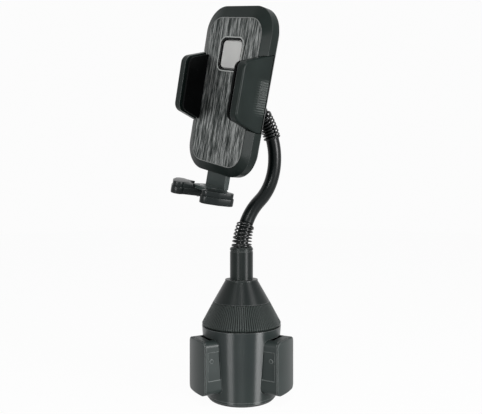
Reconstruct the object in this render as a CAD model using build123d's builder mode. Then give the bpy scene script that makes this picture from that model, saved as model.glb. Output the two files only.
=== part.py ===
"""Cup-holder phone mount: an expanding base, a flexible neck and a clamping phone head.

Millimetres, +Z up.  The origin is the middle of the base's underside.  The head faces -Y
and is rolled about the Y axis.  Head pieces are drawn in the head's own frame, whose origin
is the middle of the front panel, and are put in place when they are written.
"""
from build123d import *
from math import acos, atan, cos, degrees, pi, radians, sin, tan
import os

os.makedirs("parts", exist_ok=True)

# ---------------------------------------------------------------- shared fits
RUN = 0.1           # running clearance, each side
SLIDE = 0.3         # clearance round a sliding moulding
SEAT = 0.05         # clearance between pieces that are fixed together

# ---------------------------------------------------------------- base
PAD_R = 30.5
PAD_T = 1.5
PAD_EDGE = 0.5
COVER_T = 2.5
COVER_EDGE = 0.6
BODY_FOOT_R = 31.8
BODY_RIM_R = 36.2
BODY_RIM_Z = 65.4
BODY_WALL = 2.2
DECK_T = 2.4
DECK_TOP_Z = 64.0

WING_COUNT = 3
WING_FIRST_ANGLE = 15.0
WING_W = 31.0
WING_H = 47.0
WING_FLOOR_Z = 10.5
WING_CORNER_R = 5.0
WING_WALL = 2.0
WING_REAR = 19.5        # distance of the wing's rear edge from the axis
WING_FRONT = 43.8       # distance of the wing's front face from the axis
WING_PAD_T = 3.2
WING_FACE_R = 70.0      # radius of the pad's gently curved face
WING_IN = 9.0           # travel towards the axis
WING_OUT = 2.0          # travel away from the axis
WING_STEP = 0.5         # depth of the recess on each side of a wing
WING_STEP_LOW = 13.0
WING_STEP_HIGH = 37.7
WING_BOSS_R = 1.7
WING_BOSS_LOW = 6.2
WING_BOSS_HIGH = 30.0
WING_BOSS_BACK = 5.5
WING_VENT_FROM = 31.0
WING_VENT_L = 7.0
WING_VENT_W = 21.0
WING_PAD_EDGE = 1.2
WING_PAD_GROOVE = 0.7   # narrow root of the pad, seen as a line round the wing

PIN_R = 2.0
PIN_FROM_AXIS = 22.0
CAM_TURN = 100.0        # degrees of ring turn for the whole wing travel
CAM_T = 2.3
CAM_IN = 3.2            # step from the cup's rim in to the cam plate
CAM_R = BODY_RIM_R - CAM_IN
CAM_POINTS = 7

RING_FOOT_Z = 65.8
RING_IN = 0.2           # step from the cup's rim in to the ring
RING_FOOT_R = BODY_RIM_R - RING_IN
RING_TOP_Z = 86.8
RING_SKIRT_H = 2.4
RING_WALL = 2.2
RING_ROUND = 1.4
RING_LEDGE = 2.0
RIB_COUNT = 108
RIB_DEPTH = 0.55

CONE_TOP_Z = 107.2
CONE_TOP_R = 15.0
CONE_WALL = 2.0
CONE_ROOF = 4.0
CONE_RIM = 1.2
COLUMN_R = 8.4
COLUMN_FLANGE_R = 10.6
COLUMN_STEP_R = 10.0
FLANGE_T = 2.7
COLUMN_TOP_Z = 120.0
COLUMN_THREAD_R = 6.0
COLUMN_SOCKET_Z = 112.0
NUT_R = 9.0
NUT_H = 3.6
FERRULE_R = 10.6
FERRULE_TOP_Z = 136.7
FERRULE_GROOVE = 0.6
FERRULE_BEAD = 1.0

SCREW_HEAD_R = 2.5
SCREW_HEAD_T = 1.5
SCREW_R = 1.4
SCREW_CIRCLE_R = 26.6
SCREW_L = 8.0
POST_R = 3.4
POST_H = 12.0
RAIL_W = 6.0
RAIL_FROM = 12.0
RAIL_TO = 28.0

# ---------------------------------------------------------------- neck
NECK_R = 6.45           # sleeve
CORE_R = 5.7            # bare neck inside the end coils
NECK_BEND_Z = 133.0     # where the neck leaves the vertical
NECK_BEND_1 = (56.0, -52.0)     # radius and turn of the three bends
NECK_RUN_1 = 6.0
NECK_BEND_2 = (51.0, 92.0)
NECK_RUN_2 = 6.0
NECK_BEND_3 = (30.0, 18.0)
STUD_L = 16.0           # collar to ball centre
LINK_COUNT = 6
LINK_PITCH = 16.0
LINK_FIRST = 50.0       # first pivot, measured along the neck from the socket
DOME_R = 8.6            # radius of the ball seat between two neck segments
DOME_SPARE = 13.0       # bar past a pivot, which the dome cut trims
DOME_CUT = 17.0
COIL_WIRE_R = 0.7
COIL_TURNS = 5.5
COIL_END_GAP = 2.6      # room for the straight coil on the bent neck
LOWER_COIL_L = 22.0
LOWER_COIL_R = (8.7, 7.4)       # wire centre at the foot and at the top
UPPER_COIL_L = 26.0
UPPER_COIL_R = (7.4, 7.4)
COLLAR_L = 4.0
COLLAR_R = 7.6
COLLAR_EDGE = 0.5

# ---------------------------------------------------------------- ball joint
BALL_R = 8.5
SHANK_R = 3.0
LINER_T = 1.7
LINER_FRONT = 150.0     # where the cup ends in front, by angle from the rear
NUT_OUT_R = 14.0
NUT_FLUTES = 24
NUT_FLUTE_R = 1.2
NUT_RIM_T = 2.0
MOUTH_ANGLE = 68.0      # half angle that the shank can swing inside
BOSS_L = 4.6

# ---------------------------------------------------------------- head
HEAD_ROLL = 14.1
BALL_DEPTH = 31.3       # ball centre behind the panel's face
BALL_LIFT = -3.0        # ball centre above the panel's middle
PANEL_W = 67.0
PANEL_H = 129.0
PANEL_R = 15.5
PANEL_T = 1.6
HEAD_W = 84.0
HEAD_H = 148.2
HEAD_RISE = 1.1         # middle of the housing above the panel's middle
HEAD_R = 23.0
SHOULDER_Y = 3.7        # foot of the sloping front border
SPLIT_Y = 12.0          # joint between the two housing halves
BACK_Y = 20.0
BACK_INSET = 7.0
BACK_ROUND = 2.0
SCREW_SUNK = 1.2
GUIDE_T = 2.0
SHELL_T = 2.2
LIP = 0.9               # rim round the panel
FRONT_T = 2.0           # housing wall under the panel

BUTTON_Z = 33.0
BUTTON_W = 23.8
BUTTON_H = 23.8
BUTTON_R = 4.0
BUTTON_GAP = 0.8        # open groove between button and bezel
BEZEL_T = 2.5
BEZEL_PROUD = 0.9
BEZEL_EDGE = 0.8
BUTTON_SUNK = 0.3
BUTTON_PRESS = 1.6
BUTTON_SKIN = 1.6
BUTTON_EDGE = 0.5
BUTTON_FLANGE_T = 1.4
WEDGE_W = 6.0
WEDGE_LOW_Z = 23.0
WEDGE_HIGH_Z = 28.0
WEDGE_END_Y = 11.4
WEDGE_SLOPE = 3.4
PAWL_W = 12.0
PAWL_T = 2.2
PAWL_TOP_Z = 33.0
PAWL_LIFTED = 0.4       # air between catch and rack
PAWL_GUIDE_Z = 27.0
PAWL_GUIDE_L = 16.0
CATCH_PITCH = 2.0
CATCH_D = 0.9
CATCH_COUNT = 12
PAWL_TEETH = 5
SMALL_WIRE_R = 0.3
SPRING_R = 2.6
SPRING_LIFT = 6.0
SPRING_POST_R = 3.4
SPRING_PIN_R = 1.6
BUTTON_COIL_TURNS = 6
GEAR_COIL_TURNS = 4
GEAR_POST_R = 4.2

ARM_T = 7.5
ARM_FRONT_Y = -21.5
ARM_TOP_REAR_Z = 37.0
ARM_TOP_FRONT_Z = 25.5
ARM_LOW_REAR_Z = -30.5
ARM_LOW_FRONT_Z = -22.0
ARM_LOW_KNEE_Y = 6.0
ARM_CORNER_R = 8.0
ARM_REAR_R = 1.5
ARM_EDGE_R = 1.6
GRIP_ROOT_T = 3.0
GRIP_FACE_T = 2.2
GRIP_INSET = 3.2
GRIP_FACE_INSET = 1.2
PANEL_CLEAR = 0.5
RIDGE_COUNT = 11
RIDGE_PITCH = 2.1
RIDGE_DEPTH = 0.6
RIDGE_Y = 1.0
RIDGE_L = 9.5
RIDGE_DROP = 1.0

GEAR_MODULE = 1.0
GEAR_TEETH = 16
GEAR_T = 4.0
GEAR_Y = 7.4
GEAR_Z = 3.0
GEAR_BORE_R = 2.6
GEAR_ROOT = 1.25
GEAR_TIP = 1.0
BACKLASH = 0.2
GEAR_FLANK_STEPS = 3
PRESSURE = 20.0
RACK_BACK = 4.5
RACK_TEETH = 10
RACK_FROM = 7.5         # teeth between the gear's axis and the rack's free end
RACK_TIP = 1.5
ARM_ROOT_X = 24.0
ROOT_LOW = -6.5          # lower edge of the rack's wide root, from the gear's axis
NOTCH_Z = 3.5
NOTCH_H = 72.6
SCREW_X = 30.0
SCREW_Z = 50.0

STEM_W = 27.0
STEM_T = 5.0
STEM_Y = 6.7
STEM_TOP_Z = -32.0
STEM_FOOT_Z = -86.4
STEM_EDGE = 1.2
STEM_RAIL_Z = -52.0
STEM_RAIL_L = 32.0
STEM_NOTCHES = 7
STEM_NOTCH_PITCH = 4.0
STEM_NOTCH_R = 0.8
STEM_NOTCH_W = 13.5
BRACKET_W = 29.0
BRACKET_T = 3.2
BRACKET_REACH = 9.0
BRACKET_R = 3.0
FOOT_T = 6.6
FOOT_PIVOT_X = 8.6
FOOT_PIVOT_Y = -1.5
FOOT_HUB_R = 6.2
FOOT_L = 27.8
FOOT_LOBE_R = 6.2
FOOT_LOBE_OUT = 8.8
FOOT_LOBE_BACK = 7.5
FOOT_TIP_R = 5.6
FOOT_WEB_L = 10.4
LEFT_SPLAY = 45.0
RIGHT_SPLAY = 59.0
FOOT_PAD_T = 4.6
FOOT_PAD_INSET = 0.8
FOOT_PIN_R = 2.0
PIN_HEAD_R = 3.0
PIN_HEAD_T = 1.0
FOOT_SWEEP_R = 10.6     # kept free round the pivot for the bracket
FOOT_PAD_EDGE = 1.5

# ---------------------------------------------------------------- derived sizes
CUP_FLOOR_Z = PAD_T + COVER_T
WING_TOP_Z = WING_FLOOR_Z + WING_H
WING_MID_Z = WING_FLOOR_Z + WING_H / 2
CAM_Z = DECK_TOP_Z + FLANGE_T + RUN
CAM_TOP_Z = CAM_Z + CAM_T
CONE_FOOT_Z = RING_TOP_Z + SLIDE
WING_TRAVEL = WING_IN + WING_OUT
CAM_LEAD = WING_TRAVEL / radians(CAM_TURN)      # millimetres of wing travel for each radian

BOLT_FIRST_ANGLE = WING_FIRST_ANGLE + 180 / WING_COUNT
BELOW_DECK_Z = DECK_TOP_Z - DECK_T

LINER_R = BALL_R + RUN + LINER_T
NUT_CUP_R = LINER_R + RUN
GEAR_PITCH_R = GEAR_MODULE * GEAR_TEETH / 2
GRIP_X = HEAD_W / 2 - ARM_T


def save(builder, name, place=Location()):
    """Write one piece, moved from its own frame to its place."""
    piece = builder.part.moved(place)
    piece.label = name
    export_step(piece, f"parts/{name}.step")


def across(y):
    """Plane that cuts the head at depth y: its x is the head's X, its y the head's Z."""
    return Plane.XZ.offset(-y)


def wing_angle(index):
    return WING_FIRST_ANGLE + 360 / WING_COUNT * index


def cone_radius(z):
    """Radius of the cone that ring and top cover share."""
    share = (z - RING_FOOT_Z - RING_SKIRT_H) / (CONE_TOP_Z - RING_FOOT_Z - RING_SKIRT_H)
    return RING_FOOT_R + (CONE_TOP_R - RING_FOOT_R) * share


def body_radius(z):
    """Outside radius of the tapered cup."""
    share = (z - CUP_FLOOR_Z) / (BODY_RIM_Z - CUP_FLOOR_Z)
    return BODY_FOOT_R + (BODY_RIM_R - BODY_FOOT_R) * share


def turned(degrees_round, z=0.0):
    """Horizontal plane at height z whose x axis points along one radius."""
    angle = radians(degrees_round)
    return Plane(origin=(0, 0, z), x_dir=(cos(angle), sin(angle), 0), z_dir=(0, 0, 1))


def facing_out(degrees_round, distance):
    """Upright plane square to one radius, at the wings' middle height."""
    angle = radians(degrees_round)
    return Plane(
        origin=(distance * cos(angle), distance * sin(angle), WING_MID_Z),
        x_dir=(-sin(angle), cos(angle), 0), z_dir=(cos(angle), sin(angle), 0))


def wing_outline(grow=0.0):
    """Rounded outline of a wing, or of its window in the cup."""
    RectangleRounded(WING_W + 2 * grow, WING_H + 2 * grow, WING_CORNER_R + grow)


# ================================================================ base
# cup with three wing windows; the deck inside its rim carries the ring and the column
with BuildPart() as base_body:
    with BuildSketch(Plane.XZ):
        Polygon(
            (BODY_FOOT_R, CUP_FLOOR_Z), (BODY_RIM_R, BODY_RIM_Z),
            (BODY_RIM_R - BODY_WALL, BODY_RIM_Z), (BODY_RIM_R - BODY_WALL, DECK_TOP_Z),
            (COLUMN_THREAD_R + SEAT, DECK_TOP_Z), (COLUMN_THREAD_R + SEAT, BELOW_DECK_Z),
            (body_radius(BELOW_DECK_Z) - BODY_WALL, BELOW_DECK_Z),
            (BODY_FOOT_R - BODY_WALL, CUP_FLOOR_Z), align=None)
    revolve(axis=Axis.Z)
    with BuildSketch(Plane.XY.offset(CUP_FLOOR_Z)):
        with PolarLocations(SCREW_CIRCLE_R, WING_COUNT, BOLT_FIRST_ANGLE):
            Circle(POST_R)
    extrude(amount=POST_H)
    with BuildSketch(Plane.XY.offset(CUP_FLOOR_Z)):
        with PolarLocations(SCREW_CIRCLE_R, WING_COUNT, BOLT_FIRST_ANGLE):
            Circle(SCREW_R + SEAT)
    extrude(amount=SCREW_L, mode=Mode.SUBTRACT)
    for index in range(WING_COUNT):
        with BuildSketch(facing_out(wing_angle(index), WING_REAR)):
            wing_outline(SLIDE)
        extrude(amount=BODY_RIM_R, mode=Mode.SUBTRACT)
        with BuildSketch(turned(wing_angle(index), BELOW_DECK_Z)):
            with Locations((PIN_FROM_AXIS + (WING_OUT - WING_IN) / 2, 0)):
                SlotCenterToCenter(WING_TRAVEL, 2 * (PIN_R + SLIDE))
        extrude(amount=DECK_T, mode=Mode.SUBTRACT)
save(base_body, "base_body")

# disc that closes the cup, with one rail under each wing
with BuildPart() as bottom_cover:
    with BuildSketch(Plane.XY.offset(PAD_T)):
        Circle(BODY_FOOT_R - SEAT)
    extrude(amount=COVER_T)
    chamfer(bottom_cover.faces().sort_by(Axis.Z)[0].edges(), COVER_EDGE)
    for index in range(WING_COUNT):
        with BuildSketch(turned(wing_angle(index), CUP_FLOOR_Z)):
            with Locations(((RAIL_FROM + RAIL_TO) / 2, 0)):
                Rectangle(RAIL_TO - RAIL_FROM, RAIL_W)
        extrude(amount=WING_FLOOR_Z - SLIDE - CUP_FLOOR_Z)
    with PolarLocations(SCREW_CIRCLE_R, WING_COUNT, BOLT_FIRST_ANGLE):
        with Locations((0, 0, PAD_T)):
            Cylinder(SCREW_R + SEAT, COVER_T, mode=Mode.SUBTRACT,
                     align=(Align.CENTER, Align.CENTER, Align.MIN))
            Cylinder(SCREW_HEAD_R + SEAT, SCREW_HEAD_T, mode=Mode.SUBTRACT,
                     align=(Align.CENTER, Align.CENTER, Align.MIN))
save(bottom_cover, "base_bottom_cover")

with BuildPart() as foot_pad:
    with BuildSketch():
        Circle(PAD_R)
    extrude(amount=PAD_T)
    chamfer(foot_pad.faces().sort_by(Axis.Z)[0].edges(), PAD_EDGE)
save(foot_pad, "base_foot_pad")


def screw(radius, length, head_radius, head_height):
    """Screw whose head's outer face lies on the plane and whose shank runs along +z."""
    Cylinder(head_radius, head_height, align=(Align.CENTER, Align.CENTER, Align.MIN))
    Cylinder(radius, length, align=(Align.CENTER, Align.CENTER, Align.MIN))


with BuildPart() as bottom_screws:
    with PolarLocations(SCREW_CIRCLE_R, WING_COUNT, BOLT_FIRST_ANGLE):
        with Locations((0, 0, PAD_T)):
            screw(SCREW_R, SCREW_L, SCREW_HEAD_R, SCREW_HEAD_T - SEAT)
save(bottom_screws, "bottom_screws")

# fixed spindle: its flange carries the cam plate, its socket holds the neck
with BuildPart() as center_column:
    with BuildSketch(Plane.XZ):
        Polygon(
            (0, BELOW_DECK_Z - NUT_H), (COLUMN_THREAD_R, BELOW_DECK_Z - NUT_H),
            (COLUMN_THREAD_R, DECK_TOP_Z), (COLUMN_FLANGE_R, DECK_TOP_Z),
            (COLUMN_FLANGE_R, DECK_TOP_Z + FLANGE_T), (COLUMN_R, DECK_TOP_Z + FLANGE_T),
            (COLUMN_R, CAM_TOP_Z + RUN), (COLUMN_STEP_R, CAM_TOP_Z + RUN),
            (COLUMN_STEP_R, CONE_FOOT_Z), (COLUMN_R, CONE_FOOT_Z),
            (COLUMN_R, COLUMN_TOP_Z), (CORE_R + SEAT, COLUMN_TOP_Z),
            (CORE_R + SEAT, COLUMN_SOCKET_Z), (0, COLUMN_SOCKET_Z), align=None)
    revolve(axis=Axis.Z)
save(center_column, "center_column")

with BuildPart() as column_nut:
    with BuildSketch(Plane.XY.offset(BELOW_DECK_Z - NUT_H)):
        RegularPolygon(NUT_R, 6)
        Circle(COLUMN_THREAD_R + SEAT, mode=Mode.SUBTRACT)
    extrude(amount=NUT_H - SEAT)
save(column_nut, "column_nut")


def spiral(sideways):
    """Points of the cam's spiral, moved sideways by half a slot's width."""
    points = []
    for step in range(CAM_POINTS):
        turn = radians(CAM_TURN) * (step / (CAM_POINTS - 1))
        radius = PIN_FROM_AXIS + WING_OUT - CAM_LEAD * turn
        lean = atan(CAM_LEAD / radius)
        angle = turn - WING_OUT / CAM_LEAD
        along = radius + sideways * cos(lean)
        around = sideways * sin(lean)
        points.append((
            along * cos(angle) - around * sin(angle), along * sin(angle) + around * cos(angle)))
    return points


# plate under the ring: three spirals push the wing pins in and out
with BuildPart() as cam_plate:
    with BuildSketch(Plane.XY.offset(CAM_Z)):
        Circle(CAM_R)
        Circle(COLUMN_R + RUN, mode=Mode.SUBTRACT)
    extrude(amount=CAM_T)
    for index in range(WING_COUNT):
        with BuildSketch(turned(wing_angle(index), CAM_Z)):
            with BuildLine():
                outer = Spline(*spiral(PIN_R + RUN))
                inner = Spline(*spiral(-PIN_R - RUN))
                for end in (0, 1):
                    middle = (outer @ end + inner @ end) / 2
                    beyond = (outer % end) * ((PIN_R + RUN) * (2 * end - 1))
                    ThreePointArc(outer @ end, middle + beyond, inner @ end)
            make_face()
        extrude(amount=CAM_T, mode=Mode.SUBTRACT)
save(cam_plate, "cam_plate")


def ribbed_outline(radius):
    """Ring outline with a fine rib every few degrees."""
    points = []
    for tooth in range(RIB_COUNT):
        for share, depth in ((0.0, 0), (0.5, 0), (0.75, RIB_DEPTH)):
            angle = 2 * pi * (tooth + share) / RIB_COUNT
            points.append(((radius - depth) * cos(angle), (radius - depth) * sin(angle)))
    Polygon(*points, align=None)


# ribbed ring, turned by hand to move the wings
with BuildPart() as adjuster_ring:
    with BuildSketch(Plane.XY.offset(RING_FOOT_Z)):
        ribbed_outline(RING_FOOT_R - RING_ROUND)
    with BuildSketch(Plane.XY.offset(RING_FOOT_Z + RING_ROUND)):
        ribbed_outline(RING_FOOT_R)
    loft(ruled=True)
    with BuildSketch(Plane.XY.offset(RING_FOOT_Z + RING_ROUND)):
        ribbed_outline(RING_FOOT_R)
    extrude(amount=RING_SKIRT_H - RING_ROUND)
    with BuildSketch(Plane.XY.offset(RING_FOOT_Z + RING_SKIRT_H)):
        ribbed_outline(RING_FOOT_R)
    with BuildSketch(Plane.XY.offset(RING_TOP_Z)):
        ribbed_outline(cone_radius(RING_TOP_Z))
    loft(ruled=True)
    with BuildSketch(Plane.XZ):
        Polygon(
            (0, RING_FOOT_Z), (CAM_R + SEAT, RING_FOOT_Z), (CAM_R + SEAT, CAM_TOP_Z),
            (CAM_R - RING_LEDGE, CAM_TOP_Z), (CAM_R - RING_LEDGE, CAM_TOP_Z + RING_LEDGE),
            (cone_radius(RING_TOP_Z) - RIB_DEPTH - RING_WALL, RING_TOP_Z),
            (0, RING_TOP_Z), align=None)
    revolve(axis=Axis.Z, mode=Mode.SUBTRACT)
save(adjuster_ring, "adjuster_ring")

# smooth cover above the ring, standing on the column's step
with BuildPart() as top_cone:
    with BuildSketch(Plane.XZ):
        Polygon(
            (COLUMN_R + SEAT, CONE_FOOT_Z), (COLUMN_STEP_R, CONE_FOOT_Z),
            (COLUMN_STEP_R, CONE_TOP_Z - CONE_ROOF),
            (CONE_TOP_R - CONE_WALL, CONE_TOP_Z - CONE_ROOF),
            (cone_radius(CONE_FOOT_Z) - CONE_WALL, CONE_FOOT_Z),
            (cone_radius(CONE_FOOT_Z), CONE_FOOT_Z), (CONE_TOP_R, CONE_TOP_Z - CONE_RIM),
            (CONE_TOP_R, CONE_TOP_Z), (COLUMN_R + SEAT, CONE_TOP_Z), align=None)
    revolve(axis=Axis.Z)
save(top_cone, "top_cone")

with BuildPart() as neck_ferrule:
    with BuildSketch(Plane.XZ):
        Polygon(
            (COLUMN_R + SEAT, CONE_TOP_Z), (FERRULE_R, CONE_TOP_Z),
            (FERRULE_R, FERRULE_TOP_Z - 4 * FERRULE_BEAD),
            (FERRULE_R - FERRULE_GROOVE, FERRULE_TOP_Z - 4 * FERRULE_BEAD),
            (FERRULE_R - FERRULE_GROOVE, FERRULE_TOP_Z - 3 * FERRULE_BEAD),
            (FERRULE_R, FERRULE_TOP_Z - 3 * FERRULE_BEAD),
            (FERRULE_R, FERRULE_TOP_Z - FERRULE_BEAD),
            (FERRULE_R - FERRULE_BEAD, FERRULE_TOP_Z),
            (CORE_R + SLIDE, FERRULE_TOP_Z), (CORE_R + SLIDE, COLUMN_TOP_Z + SLIDE),
            (COLUMN_R + SEAT, COLUMN_TOP_Z + SLIDE), align=None)
    revolve(axis=Axis.Z)
save(neck_ferrule, "neck_ferrule")

# ================================================================ wings
for index in range(WING_COUNT):
    out = wing_angle(index)
    # hollow slide, open towards the axis, with a pin that stands up into the cam
    with BuildPart() as wing_frame:
        with BuildSketch(facing_out(out, WING_REAR)):
            wing_outline()
        extrude(amount=WING_FRONT - WING_REAR)
        with BuildSketch(facing_out(out, WING_REAR)):
            wing_outline(-WING_WALL)
        extrude(amount=WING_FRONT - WING_REAR - WING_WALL, mode=Mode.SUBTRACT)
        for side in (-1, 1):
            with BuildSketch(turned(out, WING_FLOOR_Z + WING_STEP_LOW)):
                with Locations(((WING_FRONT + WING_REAR) / 2 - WING_WALL, side * WING_W / 2)):
                    Rectangle(WING_FRONT - WING_REAR, 2 * WING_STEP)
            extrude(amount=WING_STEP_HIGH - WING_STEP_LOW, mode=Mode.SUBTRACT)
            for height in (WING_BOSS_LOW, WING_BOSS_HIGH):
                angle = radians(out)
                middle = facing_out(out, WING_FRONT - WING_BOSS_BACK).origin
                across_wing = Vector(-sin(angle), cos(angle), 0) * side
                start = middle + across_wing * (WING_W / 2 - WING_WALL / 2)
                at_height = Vector(start.X, start.Y, WING_FLOOR_Z + height)
                with BuildSketch(Plane(origin=at_height, z_dir=across_wing)):
                    Circle(WING_BOSS_R)
                extrude(amount=WING_WALL / 2)
        with BuildSketch(turned(out, WING_TOP_Z - WING_WALL)):
            with Locations((WING_VENT_FROM + WING_VENT_L / 2, 0)):
                Rectangle(WING_VENT_L, WING_VENT_W)
        extrude(amount=WING_WALL, mode=Mode.SUBTRACT)
        with BuildSketch(turned(out, WING_TOP_Z - WING_WALL)):
            with Locations((PIN_FROM_AXIS, 0)):
                Circle(PIN_R)
        extrude(amount=CAM_TOP_Z - RUN - WING_TOP_Z + WING_WALL)
    save(wing_frame, f"wing_frame_{index + 1}")

    # rubber face with a gentle curve across and rounded edges
    with BuildPart() as wing_pad:
        with BuildSketch(facing_out(out, WING_FRONT)):
            wing_outline(-WING_PAD_GROOVE)
        extrude(amount=WING_PAD_GROOVE)
        with BuildSketch(facing_out(out, WING_FRONT + WING_PAD_GROOVE)):
            wing_outline()
        extrude(amount=WING_PAD_T - WING_PAD_GROOVE)
        with BuildSketch(turned(out, WING_FLOOR_Z)):
            with Locations((WING_FRONT + WING_PAD_T - WING_FACE_R, 0)):
                Circle(WING_FACE_R)
        extrude(amount=WING_H, mode=Mode.INTERSECT)
        face = wing_pad.faces().filter_by(GeomType.CYLINDER).sort_by(SortBy.AREA)[-1]
        fillet(face.edges(), WING_PAD_EDGE)
    save(wing_pad, f"wing_pad_{index + 1}")

# ================================================================ neck
with BuildLine(Plane.YZ) as neck_line:
    rise = Line((0, COLUMN_SOCKET_Z + RUN), (0, NECK_BEND_Z))
    bend_1 = JernArc(rise @ 1, rise % 1, *NECK_BEND_1)
    run_1 = Line(bend_1 @ 1, bend_1 @ 1 + (bend_1 % 1) * NECK_RUN_1)
    bend_2 = JernArc(run_1 @ 1, run_1 % 1, *NECK_BEND_2)
    run_2 = Line(bend_2 @ 1, bend_2 @ 1 + (bend_2 % 1) * NECK_RUN_2)
    bend_3 = JernArc(run_2 @ 1, run_2 % 1, *NECK_BEND_3)
    Line(bend_3 @ 1, bend_3 @ 1 + (bend_3 % 1) * STUD_L)
NECK = neck_line.wires()[0]
NECK_L = NECK.length
BALL = NECK @ 1


def neck_point(distance):
    return NECK @ (distance / NECK_L)


def neck_tube(radius, start, end):
    """Round bar along the neck between two distances from its socket."""
    with BuildPart() as bar:
        with BuildLine() as path:
            add(NECK.trim(start / NECK_L, end / NECK_L))
        with BuildSketch(Plane(origin=path.line @ 0, z_dir=path.line % 0)):
            Circle(radius)
        sweep()
    return bar.part


def past_dome(pivot):
    """What is cut from a segment's end to leave the dome on which the next one turns."""
    with BuildPart() as past:
        add(neck_tube(NECK_R + 1, pivot, pivot + DOME_CUT))
        with Locations(neck_point(pivot)):
            Sphere(DOME_R, rotation=(0, 90, 0), mode=Mode.SUBTRACT)
    return past.part


COLLAR_AT = NECK_L - STUD_L - COLLAR_L
LOWER_COIL_AT = FERRULE_TOP_Z - COLUMN_SOCKET_Z + COIL_WIRE_R
UPPER_COIL_AT = COLLAR_AT - COIL_WIRE_R - UPPER_COIL_L
PIVOTS = [LINK_FIRST + LINK_PITCH * k for k in range(LINK_COUNT)]

# lower end: bare core in the socket and inside the coil, then the sleeve
with BuildPart() as neck_root:
    add(neck_tube(CORE_R, 0, PIVOTS[0]))
    add(neck_tube(NECK_R, LOWER_COIL_AT + LOWER_COIL_L + COIL_WIRE_R, PIVOTS[0] + DOME_SPARE))
    add(past_dome(PIVOTS[0]), mode=Mode.SUBTRACT)
save(neck_root, "neck_root")

for index, pivot in enumerate(PIVOTS):
    with BuildPart() as neck_segment:
        if pivot == PIVOTS[-1]:
            add(neck_tube(NECK_R, pivot, UPPER_COIL_AT - COIL_WIRE_R))
            add(neck_tube(CORE_R, pivot, COLLAR_AT))
        else:
            add(neck_tube(NECK_R, pivot, PIVOTS[index + 1] + DOME_SPARE))
            add(past_dome(PIVOTS[index + 1]), mode=Mode.SUBTRACT)
        with Locations(neck_point(pivot)):
            Sphere(DOME_R + RUN, rotation=(0, 90, 0), mode=Mode.SUBTRACT)
    save(neck_segment, f"neck_segment_{index + 1}")


def end_coil(start, length, radii):
    """Coil round one end of the neck, on the middle line of its gentle bend."""
    foot = neck_point(start + COIL_END_GAP)
    top = neck_point(start + length - COIL_END_GAP)
    shift = (neck_point(start + length / 2) - (foot + top) / 2) / 2
    height = (top - foot).length
    with BuildPart() as coil:
        with BuildLine():
            turns = Helix(height / COIL_TURNS, height, radii[0], foot + shift, top - foot,
                          cone_angle=degrees(atan((radii[1] - radii[0]) / height)))
        with BuildSketch(Plane(origin=turns @ 0, z_dir=turns % 0)):
            Circle(COIL_WIRE_R)
        sweep(path=turns, is_frenet=True)
    return coil


save(end_coil(LOWER_COIL_AT, LOWER_COIL_L, LOWER_COIL_R), "lower_spring")
save(end_coil(UPPER_COIL_AT, UPPER_COIL_L, UPPER_COIL_R), "upper_spring")

# collar crimped on the neck, shank and ball
with BuildPart() as ball_stud:
    add(neck_tube(COLLAR_R, COLLAR_AT + SEAT, COLLAR_AT + COLLAR_L))
    chamfer(ball_stud.edges(), COLLAR_EDGE)
    add(neck_tube(SHANK_R, COLLAR_AT + COLLAR_L, NECK_L))
    with Locations(BALL):
        Sphere(BALL_R)
save(ball_stud, "ball_stud")

# ================================================================ ball joint and head
HEAD_TURN = Location((0, 0, 0), (0, HEAD_ROLL, 0))
BALL_IN_HEAD = Location((0, BALL_DEPTH, BALL_LIFT))
HEAD = Location(BALL) * HEAD_TURN * Location((0, -BALL_DEPTH, -BALL_LIFT))
AT_BALL = HEAD * BALL_IN_HEAD


def cup_point(radius, angle):
    """Point on a circle round the ball, by its angle from the rear."""
    return (radius * sin(radians(angle)), radius * cos(radians(angle)))


# plastic cup between ball and nut
with BuildPart() as ball_liner:
    with BuildSketch():
        with BuildLine():
            middle = (MOUTH_ANGLE + LINER_FRONT) / 2
            outer = ThreePointArc(
                cup_point(LINER_R, MOUTH_ANGLE), cup_point(LINER_R, middle),
                cup_point(LINER_R, LINER_FRONT))
            inner = ThreePointArc(
                cup_point(BALL_R + RUN, LINER_FRONT), cup_point(BALL_R + RUN, middle),
                cup_point(BALL_R + RUN, MOUTH_ANGLE))
            Line(outer @ 1, inner @ 0)
            Line(inner @ 1, outer @ 0)
        make_face()
    revolve(axis=Axis.Y)
save(ball_liner, "ball_liner", AT_BALL)

# fluted nut: screws over the head's boss and closes round the liner
BOSS_TOP = BACK_Y + BOSS_L - BALL_DEPTH
NUT_FACE = BACK_Y + SLIDE - BALL_DEPTH
CUP_STOP = degrees(acos((BOSS_TOP + RUN) / NUT_CUP_R))
BOSS_R = NUT_OUT_R - NUT_RIM_T
with BuildPart() as ball_nut:
    with BuildSketch():
        with BuildLine():
            cup = ThreePointArc(
                cup_point(NUT_CUP_R, MOUTH_ANGLE), cup_point(NUT_CUP_R, (MOUTH_ANGLE + CUP_STOP) / 2),
                cup_point(NUT_CUP_R, CUP_STOP))
            Polyline(
                cup @ 1, (BOSS_R, BOSS_TOP + RUN), (BOSS_R, NUT_FACE), (NUT_OUT_R, NUT_FACE),
                (NUT_OUT_R, NUT_OUT_R / tan(radians(MOUTH_ANGLE))), cup @ 0)
        make_face()
    revolve(axis=Axis.Y)
    with BuildSketch(Plane.XZ.offset(-NUT_FACE)):
        with PolarLocations(NUT_OUT_R + NUT_FLUTE_R / 2, NUT_FLUTES):
            Circle(NUT_FLUTE_R)
    extrude(amount=-NUT_OUT_R * 2, mode=Mode.SUBTRACT)
save(ball_nut, "ball_nut", AT_BALL)


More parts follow.
